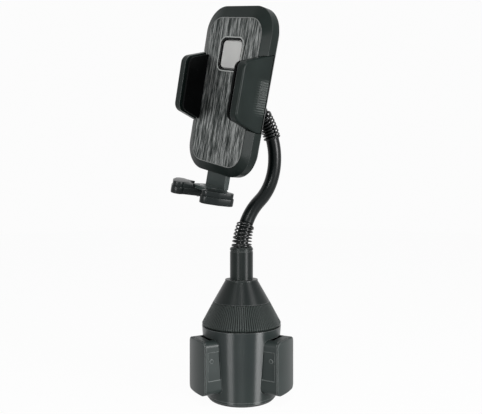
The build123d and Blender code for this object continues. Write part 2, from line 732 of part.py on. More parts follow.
def arm_outline(grow=0.0):
    """Side outline of an arm in the head's depth and height, grown or shrunk evenly."""
    with BuildSketch(mode=Mode.PRIVATE) as side:
        with BuildLine():
            FilletPolyline(
                (SPLIT_Y - SLIDE, ARM_LOW_REAR_Z), (SPLIT_Y - SLIDE, ARM_TOP_REAR_Z),
                (ARM_FRONT_Y, ARM_TOP_FRONT_Z), (ARM_FRONT_Y, ARM_LOW_FRONT_Z),
                (ARM_LOW_KNEE_Y, ARM_LOW_REAR_Z),
                radius=(ARM_REAR_R, ARM_REAR_R, ARM_CORNER_R, ARM_CORNER_R, ARM_CORNER_R),
                close=True)
        make_face()
        if grow:
            offset(amount=grow, kind=Kind.INTERSECTION)
    add(side.sketch)


def side_plane(x):
    """Plane that cuts the head at x: its own x is the head's depth, its y the height."""
    return Plane.YZ.offset(x)


def root_box(side, x_to, depth, grow=0.0, mode=Mode.ADD):
    """Wide root between an arm and its rack; the left one is turned half round the gear."""
    with Locations((side * (ARM_ROOT_X + x_to) / 2, GEAR_Y + depth / 2,
                    GEAR_Z + side * (RACK_HIGH + ROOT_LOW) / 2)):
        Box(x_to - ARM_ROOT_X + 2 * grow, depth + 2 * grow, RACK_HIGH - ROOT_LOW + 2 * grow,
            mode=mode)


def head_outline(inset=0.0):
    """Rounded outline of the housing, drawn in from its edge."""
    with Locations((0, HEAD_RISE)):
        RectangleRounded(HEAD_W - 2 * inset, HEAD_H - 2 * inset, HEAD_R - inset)


RACK_LOW = GEAR_PITCH_R + GEAR_ROOT
RACK_HIGH = RACK_LOW + RACK_BACK
NOTCH_X = HEAD_W / 2 - ARM_T - SLIDE
RACK_END_X = -RACK_FROM * pi * GEAR_MODULE - RACK_TIP
BEZEL_W = BUTTON_W + 2 * (BUTTON_GAP + BEZEL_T)
BEZEL_H = BUTTON_H + 2 * (BUTTON_GAP + BEZEL_T)
BEZEL_R = BUTTON_R + BUTTON_GAP + BEZEL_T
FLOOR_Y = PANEL_T + FRONT_T
BACK_WALL_Y = BACK_Y - SHELL_T

# front half: sloping border, panel recess, arm notches and the slot for the foot's stem
with BuildPart() as front_shell:
    with BuildSketch(across(SPLIT_Y)):
        head_outline()
    extrude(amount=SPLIT_Y - SHOULDER_Y)
    with BuildSketch(across(SHOULDER_Y)):
        head_outline()
    with BuildSketch(across(0)):
        RectangleRounded(PANEL_W + 2 * LIP, PANEL_H + 2 * LIP, PANEL_R + LIP)
    loft()
    with BuildSketch(across(SPLIT_Y)):
        head_outline(SHELL_T)
    extrude(amount=SPLIT_Y - FLOOR_Y - SHELL_T, mode=Mode.SUBTRACT)
    with BuildSketch(across(FLOOR_Y + SHELL_T)):
        RectangleRounded(PANEL_W, PANEL_H, PANEL_R)
    extrude(amount=SHELL_T, mode=Mode.SUBTRACT)
    with BuildSketch(across(PANEL_T)):
        RectangleRounded(PANEL_W + 2 * SEAT, PANEL_H + 2 * SEAT, PANEL_R + SEAT)
    extrude(amount=PANEL_T, mode=Mode.SUBTRACT)
    with BuildSketch(across(SPLIT_Y)):
        with Locations((0, BUTTON_Z)):
            RectangleRounded(BEZEL_W + 2 * SEAT, BEZEL_H + 2 * SEAT, BEZEL_R + SEAT)
    extrude(amount=SPLIT_Y, mode=Mode.SUBTRACT)
    for side in (-1, 1):
        with Locations((side * (NOTCH_X - SHELL_T / 2), (FLOOR_Y + SPLIT_Y) / 2, NOTCH_Z)):
            Box(SHELL_T, SPLIT_Y - FLOOR_Y, NOTCH_H)
        with BuildSketch(side_plane(side * NOTCH_X)):
            arm_outline(SLIDE)
        extrude(amount=side * HEAD_W, mode=Mode.SUBTRACT)
        root_box(side, HEAD_W / 2, SPLIT_Y - GEAR_Y, SLIDE, Mode.SUBTRACT)
    for x in (-SCREW_X, SCREW_X):
        for z in (-SCREW_Z, SCREW_Z):
            with Locations((x, (FLOOR_Y + SPLIT_Y) / 2, z)):
                Cylinder(POST_R, SPLIT_Y - FLOOR_Y, rotation=(90, 0, 0))
                Cylinder(SCREW_R + SEAT, SPLIT_Y - FLOOR_Y, rotation=(90, 0, 0), mode=Mode.SUBTRACT)
    with Locations((0, STEM_Y + STEM_T / 2, HEAD_RISE - HEAD_H / 2)):
        Box(STEM_W + 2 * SLIDE, STEM_T + 2 * SLIDE, 4 * SHELL_T, mode=Mode.SUBTRACT)
save(front_shell, "front_shell", HEAD)

# back half: gear post, stem rails, catch guides, screw posts and the boss for the ball
with BuildPart() as rear_shell:
    with BuildSketch(across(SPLIT_Y)):
        head_outline()
    with BuildSketch(across(BACK_Y)):
        head_outline(BACK_INSET)
    loft()
    fillet(rear_shell.faces().sort_by(Axis.Y)[-1].edges(), BACK_ROUND)
    with BuildSketch(across(SPLIT_Y)):
        head_outline(SHELL_T)
    with BuildSketch(across(BACK_WALL_Y)):
        head_outline(BACK_INSET + SHELL_T)
    loft(mode=Mode.SUBTRACT)
    with BuildSketch(across(BACK_WALL_Y)):
        with Locations((0, GEAR_Z)):
            Circle(GEAR_POST_R)
        with Locations((0, BUTTON_Z + SPRING_LIFT)):
            Circle(SPRING_POST_R)
        for side in (-1, 1):
            with Locations((side * (STEM_W / 2 + SLIDE + GUIDE_T / 2), STEM_RAIL_Z)):
                Rectangle(GUIDE_T, STEM_RAIL_L)
            with Locations((side * (PAWL_W / 2 + SLIDE + GUIDE_T / 2), PAWL_GUIDE_Z)):
                Rectangle(GUIDE_T, PAWL_GUIDE_L)
        with Locations((0, PAWL_GUIDE_Z + PAWL_GUIDE_L / 2 - GUIDE_T / 2)):
            Rectangle(PAWL_W, GUIDE_T)
        for x in (-SCREW_X, SCREW_X):
            for z in (-SCREW_Z, SCREW_Z):
                with Locations((x, z)):
                    Circle(POST_R)
    extrude(amount=BACK_WALL_Y - SPLIT_Y)
    with BuildSketch(across(SPLIT_Y)):
        with Locations((0, GEAR_Z)):
            Circle(GEAR_BORE_R - RUN)
        with Locations((0, BUTTON_Z + SPRING_LIFT)):
            Circle(SPRING_PIN_R)
    extrude(amount=SPLIT_Y - GEAR_Y)
    for side in (-1, 1):
        with BuildSketch(across(SPLIT_Y)):
            with Locations((side * (STEM_W / 2 + SLIDE + GUIDE_T / 2), STEM_RAIL_Z)):
                Rectangle(GUIDE_T, STEM_RAIL_L)
            with Locations((side * (PAWL_W / 2 + SLIDE + GUIDE_T / 2), PAWL_GUIDE_Z)):
                Rectangle(GUIDE_T, PAWL_GUIDE_L)
        extrude(amount=SPLIT_Y - GEAR_Y)
    with BuildSketch(across(SPLIT_Y)):
        for x in (-SCREW_X, SCREW_X):
            for z in (-SCREW_Z, SCREW_Z):
                with Locations((x, z)):
                    Circle(SCREW_R + SEAT)
    extrude(amount=-(BACK_Y - SPLIT_Y), mode=Mode.SUBTRACT)
    with BuildSketch(across(BACK_Y)):
        for x in (-SCREW_X, SCREW_X):
            for z in (-SCREW_Z, SCREW_Z):
                with Locations((x, z)):
                    Circle(SCREW_HEAD_R + SEAT)
    extrude(amount=SCREW_HEAD_T + SCREW_SUNK, mode=Mode.SUBTRACT)
    with BuildSketch(across(BACK_Y)):
        with Locations((0, BALL_LIFT)):
            Circle(BOSS_R - RUN)
    extrude(amount=-BOSS_L)
    with Locations((0, BALL_DEPTH, BALL_LIFT)):
        Sphere(NUT_CUP_R, mode=Mode.SUBTRACT)
save(rear_shell, "rear_shell", HEAD)

with BuildPart() as head_screws:
    for x in (-SCREW_X, SCREW_X):
        for z in (-SCREW_Z, SCREW_Z):
            with BuildSketch(across(BACK_Y - SCREW_SUNK)):
                with Locations((x, z)):
                    Circle(SCREW_HEAD_R)
            extrude(amount=SCREW_HEAD_T)
            with BuildSketch(across(BACK_Y - SCREW_SUNK - SCREW_HEAD_T)):
                with Locations((x, z)):
                    Circle(SCREW_R)
            extrude(amount=SCREW_L)
save(head_screws, "head_screws", HEAD)

with BuildPart() as face_panel:
    with BuildSketch(across(PANEL_T)):
        RectangleRounded(PANEL_W, PANEL_H, PANEL_R)
        with Locations((0, BUTTON_Z)):
            RectangleRounded(BEZEL_W + 2 * SEAT, BEZEL_H + 2 * SEAT, BEZEL_R + SEAT,
                             mode=Mode.SUBTRACT)
    extrude(amount=PANEL_T - SEAT)
save(face_panel, "face_panel", HEAD)

with BuildPart() as button_bezel:
    with BuildSketch(across(FLOOR_Y)):
        with Locations((0, BUTTON_Z)):
            RectangleRounded(BEZEL_W, BEZEL_H, BEZEL_R)
            RectangleRounded(BUTTON_W + 2 * BUTTON_GAP, BUTTON_H + 2 * BUTTON_GAP,
                             BUTTON_R + BUTTON_GAP, mode=Mode.SUBTRACT)
    extrude(amount=FLOOR_Y + BEZEL_PROUD)
    fillet(button_bezel.faces().sort_by(Axis.Y)[0].edges(), BEZEL_EDGE)
save(button_bezel, "button_bezel", HEAD)

# button: face, hollow skirt, stop flange behind the bezel and the wedge that lifts the catch
with BuildPart() as release_button:
    with BuildSketch(across(FLOOR_Y + RUN)):
        with Locations((0, BUTTON_Z)):
            RectangleRounded(BUTTON_W, BUTTON_H, BUTTON_R)
    extrude(amount=FLOOR_Y + RUN - BUTTON_SUNK)
    fillet(release_button.faces().sort_by(Axis.Y)[0].edges(), BUTTON_EDGE)
    with BuildSketch(across(FLOOR_Y + RUN + BUTTON_FLANGE_T)):
        with Locations((0, BUTTON_Z)):
            RectangleRounded(BUTTON_W + 2 * BEZEL_T, BUTTON_H + 2 * BEZEL_T, BUTTON_R)
    extrude(amount=BUTTON_FLANGE_T)
    with BuildSketch(across(FLOOR_Y + RUN + BUTTON_FLANGE_T)):
        with Locations((0, BUTTON_Z)):
            RectangleRounded(BUTTON_W - 2 * BUTTON_SKIN, BUTTON_H - 2 * BUTTON_SKIN,
                             BUTTON_R - BUTTON_SKIN)
    extrude(amount=FLOOR_Y + RUN + BUTTON_FLANGE_T - BUTTON_SUNK - BUTTON_SKIN, mode=Mode.SUBTRACT)
    with BuildSketch(side_plane(-WEDGE_W / 2)):
        Polygon(
            (BUTTON_SUNK + BUTTON_SKIN, WEDGE_LOW_Z), (WEDGE_END_Y, WEDGE_LOW_Z),
            (WEDGE_END_Y, WEDGE_HIGH_Z - WEDGE_SLOPE), (WEDGE_END_Y - WEDGE_SLOPE, WEDGE_HIGH_Z),
            (BUTTON_SUNK + BUTTON_SKIN, WEDGE_HIGH_Z), align=None)
    extrude(amount=WEDGE_W)
save(release_button, "release_button", HEAD)

# catch: a flat slide with a window for the wedge and teeth that face the rack
PAWL_Y = GEAR_Y + (GEAR_T - PAWL_T) / 2
PAWL_LOW_Z = GEAR_Z + RACK_HIGH + PAWL_LIFTED
WINDOW_TOP_Z = WEDGE_HIGH_Z + WEDGE_END_Y - WEDGE_SLOPE + SLIDE
with BuildPart() as latch_pawl:
    with BuildSketch(side_plane(-PAWL_W / 2)):
        with Locations((PAWL_Y + PAWL_T / 2, (PAWL_LOW_Z + PAWL_TOP_Z) / 2)):
            Rectangle(PAWL_T, PAWL_TOP_Z - PAWL_LOW_Z)
    extrude(amount=PAWL_W)
    with BuildSketch(side_plane(-WEDGE_W / 2 - SLIDE)):
        Polygon(
            (PAWL_Y, WEDGE_LOW_Z - BUTTON_PRESS - SLIDE),
            (PAWL_Y + PAWL_T, WEDGE_LOW_Z - BUTTON_PRESS - SLIDE),
            (PAWL_Y + PAWL_T, WINDOW_TOP_Z - PAWL_Y - PAWL_T),
            (PAWL_Y, WINDOW_TOP_Z - PAWL_Y), align=None)
    extrude(amount=WEDGE_W + 2 * SLIDE, mode=Mode.SUBTRACT)
    with BuildSketch(across(PAWL_Y + PAWL_T)):
        for tooth in range(PAWL_TEETH):
            with Locations(((tooth - PAWL_TEETH // 2) * CATCH_PITCH, PAWL_LOW_Z)):
                Polygon((-CATCH_PITCH / 2, 0), (0, CATCH_D), (CATCH_PITCH / 2, 0), align=None)
    extrude(amount=PAWL_T, mode=Mode.SUBTRACT)
save(latch_pawl, "latch_pawl", HEAD)


def straight_coil(y_from, y_to, z, radius, turns):
    """Small coil along the head's depth."""
    with BuildPart() as coil:
        with BuildLine():
            winding = Helix((y_to - y_from) / turns, y_to - y_from, radius, (0, y_from, z), (0, 1, 0))
        with BuildSketch(Plane(origin=winding @ 0, z_dir=winding % 0)):
            Circle(SMALL_WIRE_R)
        sweep(path=winding, is_frenet=True)
    return coil


save(straight_coil(BUTTON_SUNK + BUTTON_SKIN + BUTTON_PRESS + SLIDE + SMALL_WIRE_R,
                   SPLIT_Y - SMALL_WIRE_R - RUN, BUTTON_Z + SPRING_LIFT, SPRING_R,
                   BUTTON_COIL_TURNS),
     "button_spring", HEAD)
save(straight_coil(SPLIT_Y + SMALL_WIRE_R + RUN, BACK_WALL_Y - SMALL_WIRE_R - RUN, GEAR_Z,
                   GEAR_POST_R + SMALL_WIRE_R + RUN, GEAR_COIL_TURNS),
     "gear_spring", HEAD)


def involute(pressure):
    return tan(pressure) - pressure


def gear_points():
    """Outline of the pinion: involute flanks above the base circle, radial below it."""
    base_r = GEAR_PITCH_R * cos(radians(PRESSURE))
    half_tooth = (pi * GEAR_MODULE / 2 - BACKLASH / 2) / (2 * GEAR_PITCH_R)
    root_half = half_tooth + involute(radians(PRESSURE))
    flank = [(GEAR_PITCH_R - GEAR_ROOT, root_half)]
    for step in range(GEAR_FLANK_STEPS + 1):
        radius = base_r + (GEAR_PITCH_R + GEAR_TIP - base_r) * step / GEAR_FLANK_STEPS
        flank.append((radius, root_half - involute(acos(base_r / radius))))
    points = []
    for tooth in range(GEAR_TEETH):
        middle = pi / 2 + 2 * pi * tooth / GEAR_TEETH
        for radius, half in flank:
            points.append((radius * cos(middle - half), radius * sin(middle - half)))
        for radius, half in reversed(flank):
            points.append((radius * cos(middle + half), radius * sin(middle + half)))
    return points


with BuildPart() as arm_gear:
    with BuildSketch(across(GEAR_Y + GEAR_T)):
        with Locations((0, GEAR_Z)):
            Polygon(*gear_points(), align=None)
            Circle(GEAR_BORE_R, mode=Mode.SUBTRACT)
    extrude(amount=GEAR_T)
save(arm_gear, "arm_gear", HEAD)


def rack_points():
    """Outline of the right arm's rack, teeth towards the gear, catch notches on its back."""
    pitch = pi * GEAR_MODULE
    half = pitch / 4 - BACKLASH / 4
    slant = tan(radians(PRESSURE))
    points = [(RACK_END_X, RACK_LOW)]
    for tooth in range(RACK_TEETH):
        middle = (tooth - RACK_FROM) * pitch
        foot = half + GEAR_ROOT * slant
        tip = half - GEAR_TIP * slant
        points += [
            (middle - foot, RACK_LOW), (middle - tip, RACK_LOW - GEAR_ROOT - GEAR_TIP),
            (middle + tip, RACK_LOW - GEAR_ROOT - GEAR_TIP), (middle + foot, RACK_LOW)]
    points += [(ARM_ROOT_X + SLIDE, RACK_LOW), (ARM_ROOT_X + SLIDE, RACK_HIGH)]
    for notch in range(CATCH_COUNT):
        middle = (1 - notch) * CATCH_PITCH
        points += [
            (middle + CATCH_PITCH / 2, RACK_HIGH), (middle, RACK_HIGH - CATCH_D),
            (middle - CATCH_PITCH / 2, RACK_HIGH)]
    points.append((RACK_END_X, RACK_HIGH))
    return points


# arms: thick hooked shell outside, toothed bar inside; the left rack is the right one's
# turned half round the gear
for side, name in ((1, "right_arm"), (-1, "left_arm")):
    with BuildPart() as arm:
        with BuildSketch(side_plane(side * GRIP_X)):
            arm_outline()
        extrude(amount=side * ARM_T)
        outside = arm.faces().sort_by(Axis.X)[-1 if side > 0 else 0]
        fillet(outside.edges().sort_by(Axis.Y)[:-1], ARM_EDGE_R)
        for ridge in range(RIDGE_COUNT):
            with Locations((side * HEAD_W / 2, RIDGE_Y + RIDGE_L / 2,
                            GEAR_Z + (ridge - (RIDGE_COUNT - 1) / 2) * RIDGE_PITCH - RIDGE_DROP)):
                Box(2 * RIDGE_DEPTH, RIDGE_L, RIDGE_PITCH / 2, mode=Mode.SUBTRACT)
        root_box(side, GRIP_X + ARM_T / 2, GEAR_T)
        with BuildSketch(across(GEAR_Y + GEAR_T)):
            with Locations(Location((0, GEAR_Z), 0 if side > 0 else 180)):
                Polygon(*rack_points(), align=None)
        extrude(amount=GEAR_T)
    save(arm, name, HEAD)

    # pad: narrow root against the arm, wider gripping face
    with BuildPart() as pad:
        with BuildSketch(side_plane(side * GRIP_X)):
            arm_outline(-GRIP_INSET)
        extrude(amount=-side * GRIP_ROOT_T)
        with BuildSketch(side_plane(side * (GRIP_X - GRIP_ROOT_T))):
            arm_outline(-GRIP_FACE_INSET)
        extrude(amount=-side * GRIP_FACE_T)
        with Locations((side * GRIP_X, SPLIT_Y / 2 - PANEL_CLEAR, 0)):
            Box(HEAD_W / 2, SPLIT_Y, HEAD_H, mode=Mode.SUBTRACT)
    save(pad, f"{name}_pad", HEAD)

# ================================================================ foot
with BuildPart() as foot_stem:
    with BuildSketch(across(STEM_Y + STEM_T)):
        with Locations((0, (STEM_TOP_Z + STEM_FOOT_Z) / 2)):
            Rectangle(STEM_W, STEM_TOP_Z - STEM_FOOT_Z)
    extrude(amount=STEM_T)
    fillet(foot_stem.edges().filter_by(Axis.Z).group_by(Axis.Y)[0], STEM_EDGE)
    with BuildSketch(side_plane(-STEM_NOTCH_W / 2)):
        for notch in range(STEM_NOTCHES):
            with Locations((STEM_Y + STEM_T, STEM_TOP_Z - (notch + 1) * STEM_NOTCH_PITCH)):
                Circle(STEM_NOTCH_R)
    extrude(amount=STEM_NOTCH_W, mode=Mode.SUBTRACT)
save(foot_stem, "foot_stem", HEAD)

# fork under the stem with a raised ledge in front and a hub seat on each side
with BuildPart() as foot_bracket:
    with BuildSketch(Plane.XY.offset(STEM_FOOT_Z - BRACKET_T)):
        with Locations((0, (STEM_Y + STEM_T - BRACKET_REACH) / 2)):
            RectangleRounded(BRACKET_W, STEM_Y + STEM_T + BRACKET_REACH, BRACKET_R)
    extrude(amount=BRACKET_T)
    with BuildSketch(Plane.XY.offset(STEM_FOOT_Z - BRACKET_T)):
        for side in (-1, 1):
            with Locations((side * FOOT_PIVOT_X, FOOT_PIVOT_Y)):
                Circle(FOOT_PIN_R + SEAT)
    extrude(amount=BRACKET_T, mode=Mode.SUBTRACT)
save(foot_bracket, "foot_bracket", HEAD)

FOOT_TOP_Z = STEM_FOOT_Z - BRACKET_T - SLIDE
with BuildPart() as foot_pins:
    for side in (-1, 1):
        with BuildSketch(Plane.XY.offset(STEM_FOOT_Z)):
            with Locations((side * FOOT_PIVOT_X, FOOT_PIVOT_Y)):
                Circle(FOOT_PIN_R)
        extrude(amount=-BRACKET_T - 2 * SLIDE - FOOT_T)
        with BuildSketch(Plane.XY.offset(FOOT_TOP_Z - FOOT_T - SLIDE)):
            with Locations((side * FOOT_PIVOT_X, FOOT_PIVOT_Y)):
                Circle(PIN_HEAD_R)
        extrude(amount=-PIN_HEAD_T)
save(foot_pins, "foot_pins", HEAD)


def paddle_outline(grow=0.0):
    """Wavy outline of a foot that points along -Y from its pivot."""
    middle = -FOOT_L + FOOT_LOBE_BACK
    with Locations((0, 0)):
        Circle(FOOT_HUB_R + grow)
    with Locations((0, middle / 2)):
        Rectangle(2 * FOOT_HUB_R + 2 * grow, -middle)
    with Locations((-FOOT_LOBE_OUT, middle), (FOOT_LOBE_OUT, middle)):
        Circle(FOOT_LOBE_R + grow)
    with Locations((0, -FOOT_L + FOOT_TIP_R)):
        Circle(FOOT_TIP_R + grow)
    with Locations((0, middle)):
        Rectangle(2 * FOOT_LOBE_OUT, FOOT_WEB_L + 2 * grow)


for side, splay, name in ((-1, -LEFT_SPLAY, "left_foot"), (1, RIGHT_SPLAY, "right_foot")):
    foot_place = HEAD * Location((side * FOOT_PIVOT_X, FOOT_PIVOT_Y, FOOT_TOP_Z), (0, 0, splay))
    with BuildPart() as foot:
        with BuildSketch():
            paddle_outline()
        extrude(amount=-FOOT_T)
        with BuildSketch():
            Circle(FOOT_PIN_R + RUN)
        extrude(amount=-FOOT_T, mode=Mode.SUBTRACT)
    save(foot, name, foot_place)

    # soft rest on the outer part of the foot
    with BuildPart() as foot_pad:
        with BuildSketch():
            paddle_outline(-FOOT_PAD_INSET)
            Circle(FOOT_SWEEP_R, mode=Mode.SUBTRACT)
        extrude(amount=FOOT_PAD_T)
        fillet(foot_pad.faces().sort_by(Axis.Z)[-1].edges(), FOOT_PAD_EDGE)
    save(foot_pad, f"{name}_pad", foot_place)
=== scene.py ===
"""Finish of the cup-holder phone mount: surfaces for the CAD pieces, and the sleeve, springs,
paddles and dots that are finer or softer than rigid solids, with strips of painted highlight
along the panel's and the bezel's edges.

Metres, +Z up.  The sections follow the mount from the cup holder up to the feet under the phone.
"""
import bpy
from math import cos, pi, radians, sin
from mathutils import Matrix, Vector


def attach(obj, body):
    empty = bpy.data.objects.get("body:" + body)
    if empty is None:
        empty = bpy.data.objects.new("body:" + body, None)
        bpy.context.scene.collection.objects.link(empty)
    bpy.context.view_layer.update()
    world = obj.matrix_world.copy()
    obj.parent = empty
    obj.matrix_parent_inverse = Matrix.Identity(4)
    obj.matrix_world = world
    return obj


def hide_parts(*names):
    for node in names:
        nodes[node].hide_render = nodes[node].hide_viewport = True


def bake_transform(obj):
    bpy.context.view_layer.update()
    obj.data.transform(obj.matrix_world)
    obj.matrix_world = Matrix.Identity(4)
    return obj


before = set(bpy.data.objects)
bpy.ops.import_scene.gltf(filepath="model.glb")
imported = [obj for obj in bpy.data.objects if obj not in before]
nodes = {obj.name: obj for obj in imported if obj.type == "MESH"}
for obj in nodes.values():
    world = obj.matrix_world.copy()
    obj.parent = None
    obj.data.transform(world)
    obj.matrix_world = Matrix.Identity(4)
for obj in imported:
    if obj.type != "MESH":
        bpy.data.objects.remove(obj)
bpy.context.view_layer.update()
bpy.ops.object.select_all(action="DESELECT")


# ---------------------------------------------------------------- cup
# The cup is one injection moulding in charcoal nylon with a fine spark-eroded grain.
# Its floor is a separate disc with a rail under each wing, held by three screws.
mix_factor, mix_first, mix_second, mix_result = 0, 6, 7, 2     # sockets of a colour Mix node


def moulded_plastic(name, dark, light, roughness, grain, depth, edge=0.0004, shine=0.4, edge_highlight=0.05):
    """Satin moulding: a slow change of tone, a fine grain and a highlight painted paler along the edges.
    """
    highlight_width, highlight_starts, highlight_full, highlight_tint = 0.0007, 0.985, 0.86, (1, 1.08, 1.06)
    smoother, rougher = 0.05, 0.07
    material = bpy.data.materials.new(name)
    material.use_nodes = True
    tree = material.node_tree
    shader = tree.nodes["Principled BSDF"]
    shader.inputs["Specular IOR Level"].default_value = shine
    place = tree.nodes.new("ShaderNodeTexCoord")

    cloud = tree.nodes.new("ShaderNodeTexNoise")
    cloud.inputs["Scale"].default_value = 45
    cloud.inputs["Detail"].default_value = 4
    tree.links.new(place.outputs["Object"], cloud.inputs["Vector"])
    tone = tree.nodes.new("ShaderNodeValToRGB")
    tone.color_ramp.elements[0].position = 0.3
    tone.color_ramp.elements[0].color = (*dark, 1)
    tone.color_ramp.elements[1].position = 0.7
    tone.color_ramp.elements[1].color = (*light, 1)
    tree.links.new(cloud.outputs["Fac"], tone.inputs["Fac"])

    # Painted highlight: where the bevelled normal turns away from the true one, the colour is lightened
    # along the edge.
    highlight_bevel = tree.nodes.new("ShaderNodeBevel")
    highlight_bevel.samples = 6
    highlight_bevel.inputs["Radius"].default_value = highlight_width
    surface = tree.nodes.new("ShaderNodeNewGeometry")
    turn = tree.nodes.new("ShaderNodeVectorMath")
    turn.operation = "DOT_PRODUCT"
    tree.links.new(highlight_bevel.outputs["Normal"], turn.inputs[0])
    tree.links.new(surface.outputs["Normal"], turn.inputs[1])
    edge_highlight_mask = tree.nodes.new("ShaderNodeMapRange")
    edge_highlight_mask.inputs["From Min"].default_value = highlight_starts
    edge_highlight_mask.inputs["From Max"].default_value = highlight_full
    tree.links.new(turn.outputs["Value"], edge_highlight_mask.inputs["Value"])
    edge_highlight_mix = tree.nodes.new("ShaderNodeMix")
    edge_highlight_mix.data_type = "RGBA"
    edge_highlight_mix.inputs[mix_second].default_value = (*[edge_highlight * part for part in highlight_tint], 1)
    tree.links.new(edge_highlight_mask.outputs["Result"], edge_highlight_mix.inputs[mix_factor])
    tree.links.new(tone.outputs["Color"], edge_highlight_mix.inputs[mix_first])
    tree.links.new(edge_highlight_mix.outputs[mix_result], shader.inputs["Base Color"])

    wear = tree.nodes.new("ShaderNodeMapRange")
    wear.inputs["To Min"].default_value = roughness - smoother
    wear.inputs["To Max"].default_value = roughness + rougher
    tree.links.new(cloud.outputs["Fac"], wear.inputs["Value"])
    tree.links.new(wear.outputs["Result"], shader.inputs["Roughness"])

    sparks = tree.nodes.new("ShaderNodeTexNoise")
    sparks.inputs["Scale"].default_value = grain
    sparks.inputs["Detail"].default_value = 3
    tree.links.new(place.outputs["Object"], sparks.inputs["Vector"])
    rounding = tree.nodes.new("ShaderNodeBevel")
    rounding.samples = 4
    rounding.inputs["Radius"].default_value = edge
    relief = tree.nodes.new("ShaderNodeBump")
    relief.inputs["Strength"].default_value = 0.5
    relief.inputs["Distance"].default_value = depth
    tree.links.new(sparks.outputs["Fac"], relief.inputs["Height"])
    tree.links.new(rounding.outputs["Normal"], relief.inputs["Normal"])
    tree.links.new(relief.outputs["Normal"], shader.inputs["Normal"])
    return material


def turned_mould(material, spread):
    """Fine rings left by the lathe in a round mould, which draw a highlight out upwards."""
    tree = material.node_tree
    shader = tree.nodes["Principled BSDF"]
    shader.inputs["Anisotropic"].default_value = spread
    shader.inputs["Anisotropic Rotation"].default_value = 0.25     # a quarter turn: upright
    around = tree.nodes.new("ShaderNodeTangent")
    around.direction_type = "RADIAL"
    around.axis = "Z"
    tree.links.new(around.outputs["Tangent"], shader.inputs["Tangent"])


def paint(material, *names):
    """Gives CAD pieces their material."""
    for name in names:
        for slot in nodes[name].material_slots:
            slot.material = material


cup_plastic = moulded_plastic(
    "cup_plastic", dark=(0.004, 0.008, 0.008), light=(0.007, 0.012, 0.011), roughness=0.37,
    grain=1600, depth=0.00001, edge=0.0004, shine=0.47, edge_highlight=0.09)
turned_mould(cup_plastic, spread=1.0)
paint(cup_plastic, "base_body", "base_bottom_cover")


# The screws are zinc-plated and sit sunk in the floor, as do those of the phone head.
def flecked_coat(name, scale, detail, dark, light, span, polish):
    """Smooth coat or plating whose tone and polish drift a little from place to place."""
    material = bpy.data.materials.new(name)
    material.use_nodes = True
    tree = material.node_tree
    shader = tree.nodes["Principled BSDF"]
    place = tree.nodes.new("ShaderNodeTexCoord")
    flecks = tree.nodes.new("ShaderNodeTexNoise")
    flecks.name = "flecks"
    flecks.inputs["Scale"].default_value = scale
    flecks.inputs["Detail"].default_value = detail
    tree.links.new(place.outputs["Object"], flecks.inputs["Vector"])
    tone = tree.nodes.new("ShaderNodeValToRGB")
    for element, position, colour in zip(tone.color_ramp.elements, span, (dark, light)):
        element.position = position
        element.color = (*colour, 1)
    tree.links.new(flecks.outputs["Fac"], tone.inputs["Fac"])
    tree.links.new(tone.outputs["Color"], shader.inputs["Base Color"])
    rough = tree.nodes.new("ShaderNodeMapRange")
    rough.inputs["To Min"].default_value, rough.inputs["To Max"].default_value = polish
    tree.links.new(flecks.outputs["Fac"], rough.inputs["Value"])
    tree.links.new(rough.outputs["Result"], shader.inputs["Roughness"])
    return material


zinc = flecked_coat(
    "zinc_plate", scale=900, detail=2, dark=(0.30, 0.30, 0.31), light=(0.52, 0.52, 0.50),
    span=(0, 1), polish=(0.25, 0.5))
zinc.node_tree.nodes["Principled BSDF"].inputs["Metallic"].default_value = 1.0
paint(zinc, "bottom_screws", "head_screws", "foot_pins", "column_nut")


# ---------------------------------------------------------------- foot pad
# A thin disc of soft rubber under the cup keeps it from rattling.  Rings moulded into its
# underside grip the floor of the holder.
def soft_rubber(name, colour, ring_width):
    """Dull black rubber with fine rings round the mount's axis, or none where the width is 0."""
    darker, lighter = 0.8, 1.25
    wave_period = 0.314            # metres from ring to ring at a wave scale of 1
    material = bpy.data.materials.new(name)
    material.use_nodes = True
    tree = material.node_tree
    shader = tree.nodes["Principled BSDF"]
    shader.inputs["Specular IOR Level"].default_value = 0.25
    place = tree.nodes.new("ShaderNodeTexCoord")
    bloom = tree.nodes.new("ShaderNodeTexNoise")
    bloom.inputs["Scale"].default_value = 120
    bloom.inputs["Detail"].default_value = 5
    tree.links.new(place.outputs["Object"], bloom.inputs["Vector"])
    tone = tree.nodes.new("ShaderNodeValToRGB")
    tone.color_ramp.elements[0].position = 0.35
    tone.color_ramp.elements[0].color = (*[part * darker for part in colour], 1)
    tone.color_ramp.elements[1].position = 0.7
    tone.color_ramp.elements[1].color = (*[part * lighter for part in colour], 1)
    tree.links.new(bloom.outputs["Fac"], tone.inputs["Fac"])
    tree.links.new(tone.outputs["Color"], shader.inputs["Base Color"])
    rough = tree.nodes.new("ShaderNodeMapRange")
    rough.inputs["To Min"].default_value = 0.5
    rough.inputs["To Max"].default_value = 0.68
    tree.links.new(bloom.outputs["Fac"], rough.inputs["Value"])
    tree.links.new(rough.outputs["Result"], shader.inputs["Roughness"])
    relief = tree.nodes.new("ShaderNodeBump")
    relief.inputs["Strength"].default_value = 0.6
    if ring_width:
        rings = tree.nodes.new("ShaderNodeTexWave")
        rings.wave_type = "RINGS"
        rings.rings_direction = "Z"
        rings.inputs["Scale"].default_value = wave_period / ring_width
        tree.links.new(place.outputs["Object"], rings.inputs["Vector"])
        tree.links.new(rings.outputs["Fac"], relief.inputs["Height"])
        relief.inputs["Distance"].default_value = 0.0004
    else:
        grain = tree.nodes.new("ShaderNodeTexNoise")
        grain.inputs["Scale"].default_value = 1400
        tree.links.new(place.outputs["Object"], grain.inputs["Vector"])
        tree.links.new(grain.outputs["Fac"], relief.inputs["Height"])
        relief.inputs["Distance"].default_value = 0.00008
    tree.links.new(relief.outputs["Normal"], shader.inputs["Normal"])
    return material


ringed_rubber = soft_rubber("ringed_rubber", colour=(0.03, 0.031, 0.031), ring_width=0.003)
paint(ringed_rubber, "base_foot_pad")

